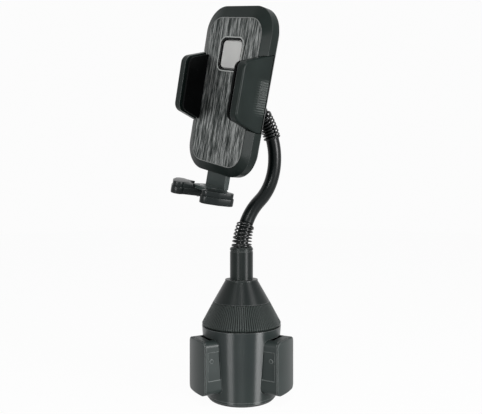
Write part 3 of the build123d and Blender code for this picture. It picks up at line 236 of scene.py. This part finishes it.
# ---------------------------------------------------------------- wings
# Three hollow slides push out through the cup's windows.  Each carries a rubber face that
# presses on the cup holder's wall.
wing_plastic = moulded_plastic(
    "wing_plastic", dark=(0.010, 0.015, 0.014), light=(0.016, 0.022, 0.021), roughness=0.4,
    grain=1600, depth=0.00003, edge=0.0004, shine=0.24, edge_highlight=0.16)
wing_rubber = moulded_plastic(
    "wing_rubber", dark=(0.010, 0.015, 0.014), light=(0.015, 0.021, 0.020), roughness=0.42,
    grain=1400, depth=0.00003, edge=0.0004, shine=0.38, edge_highlight=0.12)
turned_mould(wing_rubber, spread=0.9)
for number in (1, 2, 3):
    paint(wing_plastic, f"wing_frame_{number}")
    paint(wing_rubber, f"wing_pad_{number}")

# ---------------------------------------------------------------- turning ring
# The ribbed ring and the cam plate under it turn together.  An occlusion mask paints shade into
# the grooves between the ribs and paints the ribs' tops paler as a highlight.
ring_plastic = moulded_plastic(
    "ring_plastic", dark=(0.003, 0.006, 0.005), light=(0.006, 0.009, 0.008), roughness=0.36,
    grain=1800, depth=0.00001, edge=0.0002, shine=0.17)
inner_plastic = moulded_plastic(
    "inner_plastic", dark=(0.10, 0.10, 0.10), light=(0.13, 0.13, 0.13), roughness=0.5, grain=1200,
    depth=0.00004)
ribbed_plastic = ring_plastic.copy()
ribbed_plastic.name = "ribbed_plastic"
rib_tree = ribbed_plastic.node_tree
# Painted shade and highlight: ambient occlusion darkens the grooves and lightens the rib tops.
groove_shade = rib_tree.nodes.new("ShaderNodeAmbientOcclusion")
groove_shade.samples = 6
groove_shade.only_local = True
groove_shade.inputs["Distance"].default_value = 0.0012
rib_shade_tone = rib_tree.nodes.new("ShaderNodeValToRGB")
rib_shade_tone.color_ramp.elements[0].position = 0.72
rib_shade_tone.color_ramp.elements[0].color = (0.001, 0.0015, 0.0015, 1)
rib_shade_tone.color_ramp.elements[1].position = 0.98
rib_shade_tone.color_ramp.elements[1].color = (0.026, 0.032, 0.030, 1)
rib_tree.links.new(groove_shade.outputs["AO"], rib_shade_tone.inputs["Fac"])
rib_tree.links.new(rib_shade_tone.outputs["Color"], rib_tree.nodes["Principled BSDF"].inputs["Base Color"])
paint(ribbed_plastic, "adjuster_ring")
paint(inner_plastic, "cam_plate", "latch_pawl", "arm_gear", "ball_liner")

# ---------------------------------------------------------------- cone and ferrule
# The cone, the spindle inside it and the ferrule on top are the same satin moulding, with
# the faint turned look that comes from a polished round mould.
cone_plastic = moulded_plastic(
    "cone_plastic", dark=(0.003, 0.005, 0.005), light=(0.005, 0.008, 0.007), roughness=0.44,
    grain=2000, depth=0.00001, edge=0.0004, shine=0.22, edge_highlight=0.07)
turned_mould(cone_plastic, spread=0.85)
paint(cone_plastic, "top_cone", "center_column", "neck_ferrule")

# ---------------------------------------------------------------- flexible neck
# A bendable steel tube in a glossy black sleeve.  It rises from the cone, bows back and comes
# forward again to the ball.  Each run is its length and its turn, which is 0 where it is straight.
socket_height = 0.1121
line_step = 0.0005
lower_bow, upper_bow, last_bow = 0.056, 0.051, 0.030     # radii of the three bends
neck_runs = (
    (0.0209, 0), (lower_bow * radians(52), radians(-52)), (0.006, 0),
    (upper_bow * radians(92), radians(92)), (0.006, 0), (last_bow * radians(18), radians(18)),
    (0.016, 0))
neck_points = [Vector((0, 0, socket_height))]
heading = pi / 2
for run_length, run_turn in neck_runs:
    pieces_of_run = round(run_length / line_step)
    for step in range(pieces_of_run):
        lean = heading + run_turn * (step + 0.5) / pieces_of_run
        stride = Vector((0, cos(lean), sin(lean))) * (run_length / pieces_of_run)
        neck_points.append(neck_points[-1] + stride)
    heading += run_turn
neck_line = bpy.data.curves.new("neck_line", "CURVE")
neck_line.dimensions = "3D"
neck_line.splines.new("POLY").points.add(len(neck_points) - 1)
for point, at in zip(neck_line.splines[0].points, neck_points):
    point.co = (*at, 1)
neck_guide = bpy.data.objects.new("neck_guide", neck_line)
bpy.context.collection.objects.link(neck_guide)


def lay_on_neck(piece):
    """Bends a piece that was made upright on the origin along the neck's middle line."""
    bend = piece.modifiers.new("neck", "CURVE")
    bend.object = neck_guide
    bend.deform_axis = "POS_Z"
    bpy.context.view_layer.objects.active = piece
    bpy.ops.object.modifier_apply(modifier=bend.name)
    bpy.ops.object.select_all(action="DESELECT")


def round_bar(name, stations):
    """Upright round bar through (height, radius) stations, closed at both ends."""
    bpy.ops.mesh.primitive_circle_add(
        vertices=48, radius=stations[0][1], fill_type="NGON", location=(0, 0, stations[0][0]))
    bar = bpy.context.object
    bar.name = name
    bpy.ops.object.transform_apply(location=True)
    bpy.ops.object.mode_set(mode="EDIT")
    bpy.ops.mesh.select_all(action="SELECT")
    height, radius = stations[0]
    for next_height, next_radius in stations[1:]:
        bpy.ops.mesh.extrude_region_move(
            TRANSFORM_OT_translate={"value": (0, 0, next_height - height)})
        if next_radius != radius:
            share = next_radius / radius
            bpy.ops.transform.resize(value=(share, share, 1), center_override=(0, 0, next_height))
        height, radius = next_height, next_radius
    bpy.ops.mesh.select_all(action="SELECT")
    bpy.ops.mesh.normals_make_consistent(inside=False)
    bpy.ops.object.mode_set(mode="OBJECT")
    bpy.ops.object.shade_smooth_by_angle(angle=radians(40))
    return bar


sleeve_gloss = flecked_coat(
    "sleeve_gloss", scale=160, detail=4, dark=(0.001, 0.002, 0.002), light=(0.002, 0.0035, 0.0035),
    span=(0, 1), polish=(0.28, 0.34))
sleeve_tree = sleeve_gloss.node_tree
sleeve_shader = sleeve_tree.nodes["Principled BSDF"]
sleeve_shader.inputs["Specular IOR Level"].default_value = 0.16
sleeve_relief = sleeve_tree.nodes.new("ShaderNodeBump")
sleeve_relief.inputs["Strength"].default_value = 0.1
sleeve_relief.inputs["Distance"].default_value = 0.00003
sleeve_tree.links.new(
    sleeve_tree.nodes["flecks"].outputs["Fac"], sleeve_relief.inputs["Height"])
sleeve_tree.links.new(sleeve_relief.outputs["Normal"], sleeve_shader.inputs["Normal"])

# The neck turns at six places.  The sleeve is cut halfway between them, and each stretch bends
# over its own place, so that the cuts never show.
sleeve_radius = 0.00645
core_radius = 0.0057
first_turn = 0.050
turn_spacing = 0.016
turn_count = 6
sleeve_foot = 0.0468
sleeve_top = 0.1448
sleeve_end = 0.1710
sleeve_step = 0.001
edge_drop, edge_rise, edge_run = 0.0006, 0.0004, 0.0012
core_overlap = 0.002
cuts = [first_turn + turn_spacing * (index - 0.5) for index in range(1, turn_count)]

core = round_bar("neck_core_low", [
    (0.0002, core_radius), (0.012, core_radius), (0.024, core_radius), (0.036, core_radius),
    (sleeve_foot + core_overlap, core_radius)])
lay_on_neck(core)
core.data.materials.append(sleeve_gloss)
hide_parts("neck_root")
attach(core, "base")

for index in range(turn_count):
    begin = cuts[index - 1] if index else sleeve_foot
    finish = cuts[index] if index < turn_count - 1 else sleeve_top
    stations = []
    if index == 0:
        stations += [(begin, sleeve_radius - edge_drop), (begin + edge_rise, sleeve_radius)]
        begin += edge_run
    count = round((finish - begin) / sleeve_step)
    last = finish - edge_rise if index == turn_count - 1 else finish
    stations += [(begin + (last - begin) * step / count, sleeve_radius) for step in range(count + 1)]
    if index == turn_count - 1:
        stations.append((finish, sleeve_radius - edge_drop))
    stretch = round_bar(f"neck_sleeve_{index + 1}", stations)
    lay_on_neck(stretch)
    stretch.data.materials.append(sleeve_gloss)
    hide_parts(f"neck_segment_{index + 1}")
    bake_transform(stretch)

core = round_bar("neck_core_high", [
    (sleeve_top - core_overlap, core_radius), (0.150, core_radius), (0.160, core_radius),
    (sleeve_end, core_radius)])
lay_on_neck(core)
core.data.materials.append(sleeve_gloss)
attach(core, "link_6")

# ---------------------------------------------------------------- neck springs
# An open coil of black-lacquered spring steel keeps the sleeve from kinking at each end.  The
# last turn lies flat against the ferrule, or against the collar of the ball.
black_steel = flecked_coat(
    "black_steel", scale=700, detail=3, dark=(0.002, 0.003, 0.003), light=(0.006, 0.007, 0.007),
    span=(0.4, 0.75), polish=(0.12, 0.22))
black_steel.node_tree.nodes["Principled BSDF"].inputs["Specular IOR Level"].default_value = 0.3
paint(black_steel, "ball_stud")

wire_radius, wire_sides = 0.0008, 10
steps_per_turn = 28
for name, cad_name, body, foot, height, turns, foot_radius, top_radius in (
        ("spring_low", "lower_spring", "base", 0.0256, 0.0214, 6, 0.0086, 0.0076),
        ("spring_high", "upper_spring", "link_6", 0.1444, 0.0256, 7, 0.0076, 0.0080)):
    wound_height = height - 3 * wire_radius
    bpy.ops.mesh.primitive_circle_add(
        vertices=wire_sides, radius=wire_radius, location=(foot_radius, 0, foot), rotation=(pi / 2, 0, 0))
    coil = bpy.context.object
    coil.name = name
    bpy.ops.object.transform_apply(location=True, rotation=True)
    winding = coil.modifiers.new("winding", "SCREW")
    winding.axis = "Z"
    winding.angle = 2 * pi * turns
    winding.screw_offset = wound_height
    winding.steps = steps_per_turn * turns
    winding.render_steps = steps_per_turn * turns
    winding.use_normal_calculate = True
    bpy.ops.object.modifier_apply(modifier=winding.name)
    for ring_height in (foot, foot + wound_height):
        bpy.ops.mesh.primitive_torus_add(
            location=(0, 0, ring_height), major_radius=foot_radius, minor_radius=wire_radius,
            major_segments=40, minor_segments=wire_sides)
        ring = bpy.context.object
        bpy.ops.object.select_all(action="DESELECT")
        ring.select_set(True)
        coil.select_set(True)
        bpy.context.view_layer.objects.active = coil
        bpy.ops.object.join()
    bpy.ops.object.mode_set(mode="EDIT")
    bpy.ops.mesh.select_all(action="SELECT")
    bpy.ops.mesh.normals_make_consistent(inside=False)
    bpy.ops.object.mode_set(mode="OBJECT")
    bpy.ops.object.shade_smooth()
    for vertex in coil.data.vertices:
        share = 1 + (top_radius / foot_radius - 1) * (vertex.co.z - foot) / height
        vertex.co.x *= share
        vertex.co.y *= share
    lay_on_neck(coil)
    coil.data.materials.append(black_steel)
    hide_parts(cad_name)
    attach(coil, body)
bpy.data.objects.remove(neck_guide)

# ---------------------------------------------------------------- ball joint
# The ball sits in a plastic cup, and the fluted nut screws over the boss on the head's back.
paint(ring_plastic, "ball_nut")

# ---------------------------------------------------------------- phone head
# Two shells meet halfway through the head's depth.  They are the same moulding as the arms,
# a cool charcoal with a satin skin.
head_plastic = moulded_plastic(
    "head_plastic", dark=(0.004, 0.007, 0.006), light=(0.007, 0.011, 0.010), roughness=0.36,
    grain=1500, depth=0.00002, edge=0.0005, shine=0.12, edge_highlight=0.04)
paint(head_plastic, "front_shell", "rear_shell")

# The panel is a thin skin with a wood-like grain pressed into it, lengthwise on the head.
# The head leans to one side, so the grain leans with it.
head_lean = radians(14.1)
head_middle = Vector((0.00073, -0.02189, 0.27594))
grained_skin = bpy.data.materials.new("grained_skin")
grained_skin.use_nodes = True
skin_tree = grained_skin.node_tree
skin_shader = skin_tree.nodes["Principled BSDF"]
skin_shader.inputs["Metallic"].default_value = 0.85
skin_place = skin_tree.nodes.new("ShaderNodeTexCoord")
skin_turn = skin_tree.nodes.new("ShaderNodeMapping")
skin_turn.inputs["Rotation"].default_value = (0, -head_lean, 0)
skin_tree.links.new(skin_place.outputs["Object"], skin_turn.inputs["Vector"])
number_first, number_second, number_result = 2, 3, 0     # sockets of a number Mix node
skin_heights = []
for across_scale, along_scale, detail, wander in (
        (1900, 75, 3, 0.3), (3000, 150, 2, 0.2), (420, 26, 4, 0.4)):
    stretch = skin_tree.nodes.new("ShaderNodeMapping")
    stretch.inputs["Scale"].default_value = (across_scale, across_scale, along_scale)
    skin_tree.links.new(skin_turn.outputs["Vector"], stretch.inputs["Vector"])
    streaks = skin_tree.nodes.new("ShaderNodeTexNoise")
    streaks.inputs["Scale"].default_value = 1
    streaks.inputs["Detail"].default_value = detail
    streaks.inputs["Distortion"].default_value = wander
    skin_tree.links.new(stretch.outputs["Vector"], streaks.inputs["Vector"])
    skin_heights.append(streaks.outputs["Fac"])
skin_mix = skin_tree.nodes.new("ShaderNodeMix")
skin_mix.inputs["Factor"].default_value = 0.4
skin_tree.links.new(skin_heights[0], skin_mix.inputs[number_first])
skin_tree.links.new(skin_heights[1], skin_mix.inputs[number_second])
skin_broad = skin_tree.nodes.new("ShaderNodeMix")
skin_broad.inputs["Factor"].default_value = 0.25
skin_tree.links.new(skin_mix.outputs[number_result], skin_broad.inputs[number_first])
skin_tree.links.new(skin_heights[2], skin_broad.inputs[number_second])
skin_tone = skin_tree.nodes.new("ShaderNodeValToRGB")
skin_tone.color_ramp.elements[0].position = 0.42
skin_tone.color_ramp.elements[0].color = (0.006, 0.009, 0.008, 1)
skin_tone.color_ramp.elements[1].position = 0.6
skin_tone.color_ramp.elements[1].color = (0.33, 0.34, 0.335, 1)
skin_middle = skin_tone.color_ramp.elements.new(0.5)
skin_middle.color = (0.06, 0.066, 0.064, 1)
skin_tree.links.new(skin_broad.outputs[number_result], skin_tone.inputs["Fac"])
skin_tree.links.new(skin_tone.outputs["Color"], skin_shader.inputs["Base Color"])
skin_rough = skin_tree.nodes.new("ShaderNodeMapRange")
skin_rough.inputs["To Min"].default_value = 0.40
skin_rough.inputs["To Max"].default_value = 0.52
skin_tree.links.new(skin_broad.outputs[number_result], skin_rough.inputs["Value"])
skin_tree.links.new(skin_rough.outputs["Result"], skin_shader.inputs["Roughness"])
skin_relief = skin_tree.nodes.new("ShaderNodeBump")
skin_relief.inputs["Strength"].default_value = 0.25
skin_relief.inputs["Distance"].default_value = 0.0004
skin_tree.links.new(skin_broad.outputs[number_result], skin_relief.inputs["Height"])
skin_tree.links.new(skin_relief.outputs["Normal"], skin_shader.inputs["Normal"])
paint(grained_skin, "face_panel")

# A pale grey strip frames the panel where its cut edge meets the shell, a painted highlight on
# that edge, and a wider one paints the highlight on the rim of the release button's bezel.
edge_highlight_grey = moulded_plastic(
    "edge_highlight_grey", dark=(0.15, 0.155, 0.15), light=(0.22, 0.225, 0.22), roughness=0.35, grain=900,
    depth=0.00003, edge=0.0001)
rim_highlight_grey = moulded_plastic(
    "rim_highlight_grey", dark=(0.30, 0.31, 0.30), light=(0.38, 0.39, 0.38), roughness=0.3, grain=900,
    depth=0.00003, edge=0.0001)
button_rise = 0.033
button_middle = head_middle + Matrix.Rotation(head_lean, 3, "Y") @ Vector((0, 0, button_rise))
for name, width, height, corner, line_width, line_rise, middle, highlight_grey in (
        ("panel_edge_highlight", 0.067, 0.129, 0.0155, 0.0007, 0.0002, head_middle, edge_highlight_grey),
        ("bezel_rim_highlight", 0.0294, 0.0294, 0.0068, 0.0010, 0.0012, button_middle, rim_highlight_grey)):
    bpy.ops.mesh.primitive_plane_add(size=1, location=(0, 0, 0), rotation=(pi / 2, 0, 0))
    highlight_strip = bpy.context.object
    highlight_strip.name = name
    bpy.ops.object.transform_apply(rotation=True)
    bpy.ops.object.mode_set(mode="EDIT")
    bpy.ops.mesh.select_all(action="SELECT")
    bpy.ops.transform.resize(value=(width + line_width, 1, height + line_width))
    bpy.ops.mesh.bevel(offset=corner, segments=12, affect="VERTICES")
    bpy.ops.mesh.select_all(action="SELECT")
    bpy.ops.mesh.inset(thickness=line_width)
    bpy.ops.mesh.delete(type="FACE")
    bpy.ops.mesh.select_all(action="SELECT")
    bpy.ops.mesh.extrude_region_move(TRANSFORM_OT_translate={"value": (0, -line_rise, 0)})
    bpy.ops.mesh.select_all(action="SELECT")
    bpy.ops.mesh.normals_make_consistent(inside=False)
    bpy.ops.object.mode_set(mode="OBJECT")
    highlight_strip.matrix_world = Matrix.Translation(middle) @ Matrix.Rotation(head_lean, 4, "Y")
    bpy.ops.object.transform_apply(location=True, rotation=True)
    highlight_strip.data.materials.append(highlight_grey)
    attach(highlight_strip, "head")
    bpy.ops.object.select_all(action="DESELECT")

# ---------------------------------------------------------------- release button
# A pale grey key in a glossy frame.  A wedge behind it lifts the catch off the rack.
button_grey = moulded_plastic(
    "button_grey", dark=(0.33, 0.33, 0.325), light=(0.38, 0.38, 0.37), roughness=0.4, grain=1500,
    depth=0.00003, edge=0.0003)
paint(button_grey, "release_button")
# The bezel's frame carries a strong painted highlight along its edges.
frame_gloss = moulded_plastic(
    "frame_gloss", dark=(0.003, 0.004, 0.004), light=(0.006, 0.007, 0.007), roughness=0.2,
    grain=900, depth=0.00001, edge=0.0008, shine=0.12, edge_highlight=0.5)
paint(frame_gloss, "button_bezel")
paint(zinc, "button_spring", "gear_spring")

# ---------------------------------------------------------------- clamping arms
# Hooked shells with a toothed bar that runs into the head, and a soft pad inside each.
arm_plastic = moulded_plastic(
    "arm_plastic", dark=(0.004, 0.007, 0.006), light=(0.007, 0.011, 0.010), roughness=0.33,
    grain=1500, depth=0.00002, edge=0.0006, shine=0.12, edge_highlight=0.09)

# Rows of small raised dots on the outer sides give the thumb a hold.  They are strongest at
# the rear edge and fade out towards the front.
dot_tree = arm_plastic.node_tree
dot_shader = dot_tree.nodes["Principled BSDF"]
dot_place = dot_tree.nodes.new("ShaderNodeTexCoord")
dot_turn = dot_tree.nodes.new("ShaderNodeMapping")
dot_turn.inputs["Location"].default_value = head_middle
dot_turn.inputs["Rotation"].default_value = (0, head_lean, 0)
dot_turn.vector_type = "TEXTURE"
dot_tree.links.new(dot_place.outputs["Object"], dot_turn.inputs["Vector"])
dot_axes = dot_tree.nodes.new("ShaderNodeSeparateXYZ")
dot_tree.links.new(dot_turn.outputs["Vector"], dot_axes.inputs["Vector"])


def dot_math(operation, first, second):
    """One step of the arithmetic that places the dots; a value may be a number or a socket."""
    node = dot_tree.nodes.new("ShaderNodeMath")
    node.operation = operation
    for socket, value in zip(node.inputs, (first, second)):
        if isinstance(value, (int, float)):
            socket.default_value = value
        else:
            dot_tree.links.new(value, socket)
    return node.outputs["Value"]


dot_pitch_y, dot_pitch_z = 0.0016, 0.0020
dot_rear_y, dot_front_y, dot_half_height = 0.011, -0.004, 0.0165
dot_full_share, dot_highlight_strength = 0.7, 0.3
dot_columns = dot_math("SINE", dot_math("MULTIPLY", dot_axes.outputs["Y"], 2 * pi / dot_pitch_y), 0)
dot_rows = dot_math("SINE", dot_math("MULTIPLY", dot_axes.outputs["Z"], 2 * pi / dot_pitch_z), 0)
dots = dot_math("MULTIPLY", dot_math("ADD", dot_columns, 1), dot_math("ADD", dot_rows, 1))
fade = dot_tree.nodes.new("ShaderNodeMapRange")
fade.inputs["From Min"].default_value = dot_front_y
fade.inputs["From Max"].default_value = dot_rear_y
dot_tree.links.new(dot_axes.outputs["Y"], fade.inputs["Value"])
edge_fade = dot_tree.nodes.new("ShaderNodeMapRange")
edge_fade.inputs["From Min"].default_value = dot_half_height
edge_fade.inputs["From Max"].default_value = dot_half_height * dot_full_share
dot_tree.links.new(dot_math("ABSOLUTE", dot_axes.outputs["Z"], 0), edge_fade.inputs["Value"])
dot_shown = dot_math("MULTIPLY", dot_math("MULTIPLY", dots, fade.outputs["Result"]),
                     edge_fade.outputs["Result"])
# The dots are painted paler as well as raised: a painted highlight on their tops.
dot_highlight_mix = dot_tree.nodes.new("ShaderNodeMix")
dot_highlight_mix.data_type = "RGBA"
dot_highlight_mix.inputs[mix_second].default_value = (0.09, 0.10, 0.095, 1)
dot_tree.links.new(dot_math("MULTIPLY", dot_shown, dot_highlight_strength), dot_highlight_mix.inputs[mix_factor])
dot_tree.links.new(
    dot_shader.inputs["Base Color"].links[0].from_socket, dot_highlight_mix.inputs[mix_first])
dot_tree.links.new(dot_highlight_mix.outputs[mix_result], dot_shader.inputs["Base Color"])
dot_relief = dot_tree.nodes.new("ShaderNodeBump")
dot_relief.inputs["Strength"].default_value = 0.8
dot_relief.inputs["Distance"].default_value = 0.0001
dot_tree.links.new(dot_shown, dot_relief.inputs["Height"])
dot_tree.links.new(dot_shader.inputs["Normal"].links[0].from_socket, dot_relief.inputs["Normal"])
dot_tree.links.new(dot_relief.outputs["Normal"], dot_shader.inputs["Normal"])
pad_rubber = soft_rubber("pad_rubber", colour=(0.0012, 0.0015, 0.0015), ring_width=0)
pad_rubber.node_tree.nodes["Principled BSDF"].inputs["Specular IOR Level"].default_value = 0.04
paint(arm_plastic, "left_arm", "right_arm")
paint(pad_rubber, "left_arm_pad", "right_arm_pad")

# ---------------------------------------------------------------- feet
# Two paddles swing on pins in the fork at the stem's lower end, and the phone stands on them.
# The stem and its fork are a paler moulding than the paddles, with a stronger painted highlight
# on their edges.
foot_plastic = moulded_plastic(
    "foot_plastic", dark=(0.004, 0.006, 0.006), light=(0.007, 0.009, 0.009), roughness=0.3,
    grain=1500, depth=0.00002, edge=0.0006, shine=0.16, edge_highlight=0.05)
stem_plastic = moulded_plastic(
    "stem_plastic", dark=(0.020, 0.027, 0.026), light=(0.030, 0.038, 0.036), roughness=0.4,
    grain=1500, depth=0.00002, edge=0.0005, shine=0.3, edge_highlight=0.10)
paint(stem_plastic, "foot_stem", "foot_bracket")

# Each paddle widens from its hub to a broad rounded end.  The moulding below carries a soft
# rest, which starts clear of the fork so that the foot can swing.
hub_radius, lobe_radius, tip_radius = 0.0062, 0.0062, 0.0056
lobe_out, lobe_reach, tip_reach = 0.0088, 0.0203, 0.0222
foot_thickness, rest_thickness, rest_inset = 0.0066, 0.0046, 0.0008
rest_start, pin_bore = 0.0109, 0.0021
paddle_edge, rest_edge, web_share = 0.0005, 0.0014, 0.9
pivot_out, pivot_back, pivot_height = 0.0086, -0.0015, -0.0899


def paddle(name, low, high, inset, soft_edge, bore):
    """Paddle between two heights, along -Y from a pivot in a bore on the origin."""
    middle = (low + high) / 2
    bpy.ops.mesh.primitive_cube_add(size=1, location=(0, -lobe_reach / 2, middle))
    web = bpy.context.object
    web.name = name
    web.scale = (2 * (hub_radius - inset), lobe_reach, high - low)
    bpy.ops.object.transform_apply(location=True, scale=True)
    bpy.ops.object.mode_set(mode="EDIT")
    bpy.ops.mesh.select_mode(type="VERT")
    bpy.ops.mesh.select_all(action="DESELECT")
    bpy.ops.object.mode_set(mode="OBJECT")
    for vertex in web.data.vertices:
        vertex.select = vertex.co.y < -lobe_reach / 2
    bpy.ops.object.mode_set(mode="EDIT")
    bpy.ops.transform.resize(
        value=((lobe_out + lobe_radius - inset) / (hub_radius - inset) * web_share, 1, 1),
        center_override=(0, -lobe_reach, middle))
    bpy.ops.object.mode_set(mode="OBJECT")
    bpy.ops.mesh.primitive_cylinder_add(
        vertices=64, radius=hub_radius - inset, depth=high - low, location=(0, 0, middle))
    hub = bpy.context.object
    bpy.ops.object.transform_apply(location=True)
    lobes = []
    for x, y, radius in ((-lobe_out, -lobe_reach, lobe_radius),
                         (lobe_out, -lobe_reach, lobe_radius), (0, -tip_reach, tip_radius)):
        bpy.ops.mesh.primitive_cylinder_add(
            vertices=64, radius=radius - inset, depth=high - low, location=(x, y, middle))
        bpy.ops.object.transform_apply(location=True)
        lobes.append(bpy.context.object)
    for lobe in lobes:
        lobe.select_set(True)
    bpy.ops.object.join()
    broad_end = bpy.context.object
    bpy.ops.object.mode_set(mode="EDIT")
    bpy.ops.mesh.select_all(action="SELECT")
    bpy.ops.mesh.convex_hull()
    bpy.ops.object.mode_set(mode="OBJECT")
    for added in (hub, broad_end):
        joint = web.modifiers.new("joint", "BOOLEAN")
        joint.operation = "UNION"
        joint.object = added
        bpy.context.view_layer.objects.active = web
        bpy.ops.object.modifier_apply(modifier=joint.name)
        bpy.data.objects.remove(added)
    bpy.ops.mesh.primitive_cylinder_add(
        vertices=64, radius=bore, depth=4 * (high - low), location=(0, 0, middle))
    drill = bpy.context.object
    bpy.ops.object.transform_apply(location=True)
    drilled = web.modifiers.new("drilled", "BOOLEAN")
    drilled.operation = "DIFFERENCE"
    drilled.object = drill
    bpy.context.view_layer.objects.active = web
    bpy.ops.object.modifier_apply(modifier=drilled.name)
    bpy.data.objects.remove(drill)
    web.select_set(True)
    bpy.context.view_layer.objects.active = web
    bpy.ops.object.mode_set(mode="EDIT")
    bpy.ops.mesh.select_all(action="SELECT")
    bpy.ops.mesh.remove_doubles(threshold=0.00001)
    bpy.ops.mesh.dissolve_limited(angle_limit=radians(2))
    bpy.ops.object.mode_set(mode="OBJECT")
    soften = web.modifiers.new("soft_edge", "BEVEL")
    soften.width = soft_edge
    soften.segments = 3
    soften.limit_method = "ANGLE"
    soften.angle_limit = radians(50)
    bpy.ops.object.modifier_apply(modifier=soften.name)
    bpy.ops.object.shade_smooth_by_angle(angle=radians(35))
    return web


for side, sign, splay in (("left", -1, radians(-45)), ("right", 1, radians(59))):
    foot_place = (Matrix.Translation(head_middle) @ Matrix.Rotation(head_lean, 4, "Y")
                  @ Matrix.Translation((sign * pivot_out, pivot_back, pivot_height))
                  @ Matrix.Rotation(splay, 4, "Z"))
    for piece, cad_name, slot_name in (
            (paddle(f"{side}_paddle", low=-foot_thickness, high=0, inset=0,
                    soft_edge=paddle_edge, bore=pin_bore),
             f"{side}_foot", "head_plastic"),
            (paddle(f"{side}_rest", low=0, high=rest_thickness, inset=rest_inset,
                    soft_edge=rest_edge, bore=rest_start),
             f"{side}_foot_pad", "pad_rubber")):
        piece.matrix_world = foot_place
        bpy.ops.object.select_all(action="DESELECT")
        piece.select_set(True)
        bpy.context.view_layer.objects.active = piece
        bpy.ops.object.transform_apply(location=True, rotation=True)
        piece.data.materials.append(foot_plastic)
        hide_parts(cad_name)
        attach(piece, f"foot_{side}")
        bpy.ops.object.select_all(action="DESELECT")

# ---------------------------------------------------------------- studio
# A white floor and three soft lamps.  The two low ones draw a band of light down each side of
# the round parts, and the high one in front lights the cone, the panel and the tops.
def seen_ray(tree):
    """Socket that is 1 on rays that the camera sends out, and on those that mirror or pass."""
    rays = tree.nodes.new("ShaderNodeLightPath")
    seen = rays.outputs["Is Camera Ray"]
    for kind in ("Is Glossy Ray", "Is Transmission Ray"):
        either = tree.nodes.new("ShaderNodeMath")
        either.operation = "MAXIMUM"
        tree.links.new(seen, either.inputs[0])
        tree.links.new(rays.outputs[kind], either.inputs[1])
        seen = either.outputs["Value"]
    return seen


floor_width = 6
floor_glow_share = 0.96            # the rest of the floor's light is true, and holds the shadow
bpy.ops.mesh.primitive_plane_add(size=floor_width, location=(0, 0, 0))
floor = bpy.context.object
floor.name = "studio_floor"
floor_white = bpy.data.materials.new("floor_white")
floor_white.use_nodes = True
floor_tree = floor_white.node_tree
floor_shader = floor_tree.nodes["Principled BSDF"]
floor_shader.inputs["Base Color"].default_value = (0.9, 0.9, 0.9, 1)
floor_shader.inputs["Roughness"].default_value = 0.9
floor_light = floor_tree.nodes.new("ShaderNodeEmission")
floor_light.inputs["Strength"].default_value = 1.0
floor_share = floor_tree.nodes.new("ShaderNodeMath")
floor_share.operation = "MULTIPLY"
floor_share.inputs[1].default_value = floor_glow_share
floor_tree.links.new(seen_ray(floor_tree), floor_share.inputs[0])
floor_mix = floor_tree.nodes.new("ShaderNodeMixShader")
floor_tree.links.new(floor_share.outputs["Value"], floor_mix.inputs["Fac"])
floor_tree.links.new(floor_shader.outputs["BSDF"], floor_mix.inputs[1])
floor_tree.links.new(floor_light.outputs["Emission"], floor_mix.inputs[2])
floor_tree.links.new(floor_mix.outputs["Shader"], floor_tree.nodes["Material Output"].inputs["Surface"])
floor.data.materials.append(floor_white)

world = bpy.data.worlds.new("studio")
bpy.context.scene.world = world
world.use_nodes = True
sky_tree = world.node_tree
sky = sky_tree.nodes["Background"]
sky.inputs["Color"].default_value = (0.55, 0.57, 0.58, 1)
sky.inputs["Strength"].default_value = 0.2
white = sky_tree.nodes.new("ShaderNodeBackground")
white.inputs["Color"].default_value = (0.972, 0.972, 0.972, 1)
sky_mix = sky_tree.nodes.new("ShaderNodeMixShader")
sky_tree.links.new(seen_ray(sky_tree), sky_mix.inputs["Fac"])
sky_tree.links.new(sky.outputs["Background"], sky_mix.inputs[1])
sky_tree.links.new(white.outputs["Background"], sky_mix.inputs[2])
sky_tree.links.new(sky_mix.outputs["Shader"], sky_tree.nodes["World Output"].inputs["Surface"])

lamp_aim = Vector((0, 0, 0.18))
for name, place, size, power in (
        ("left_lamp", (0.24, -1.07, 0.17), (0.3, 0.3), 7),
        ("right_lamp", (1.08, 0.13, 0.17), (0.36, 0.3), 15),
        ("top_lamp", (0.54, -0.54, 1.07), (0.3, 0.3), 5.5)):
    lamp_data = bpy.data.lights.new(name, "AREA")
    lamp_data.shape = "RECTANGLE"
    lamp_data.size, lamp_data.size_y = size
    lamp_data.energy = power
    lamp = bpy.data.objects.new(name, lamp_data)
    lamp.location = place
    lamp.rotation_euler = (lamp_aim - Vector(place)).to_track_quat("-Z", "Y").to_euler()
    bpy.context.collection.objects.link(lamp)

# The camera stands level with the neck, between the front and the right side.
camera_angle = radians(45.2)
camera_distance = 0.497
camera_height = 0.1752
camera_data = bpy.data.cameras.new("camera")
camera_data.sensor_width = 36
camera_data.lens = 40.33
camera_data.shift_x = -0.001
camera_data.shift_y = -0.0039
camera = bpy.data.objects.new("camera", camera_data)
camera.location = (
    camera_distance * sin(camera_angle), -camera_distance * cos(camera_angle), camera_height)
camera.rotation_euler = (pi / 2, 0, camera_angle)
bpy.context.collection.objects.link(camera)
bpy.context.scene.camera = camera
bpy.context.scene.view_settings.view_transform = "Standard"
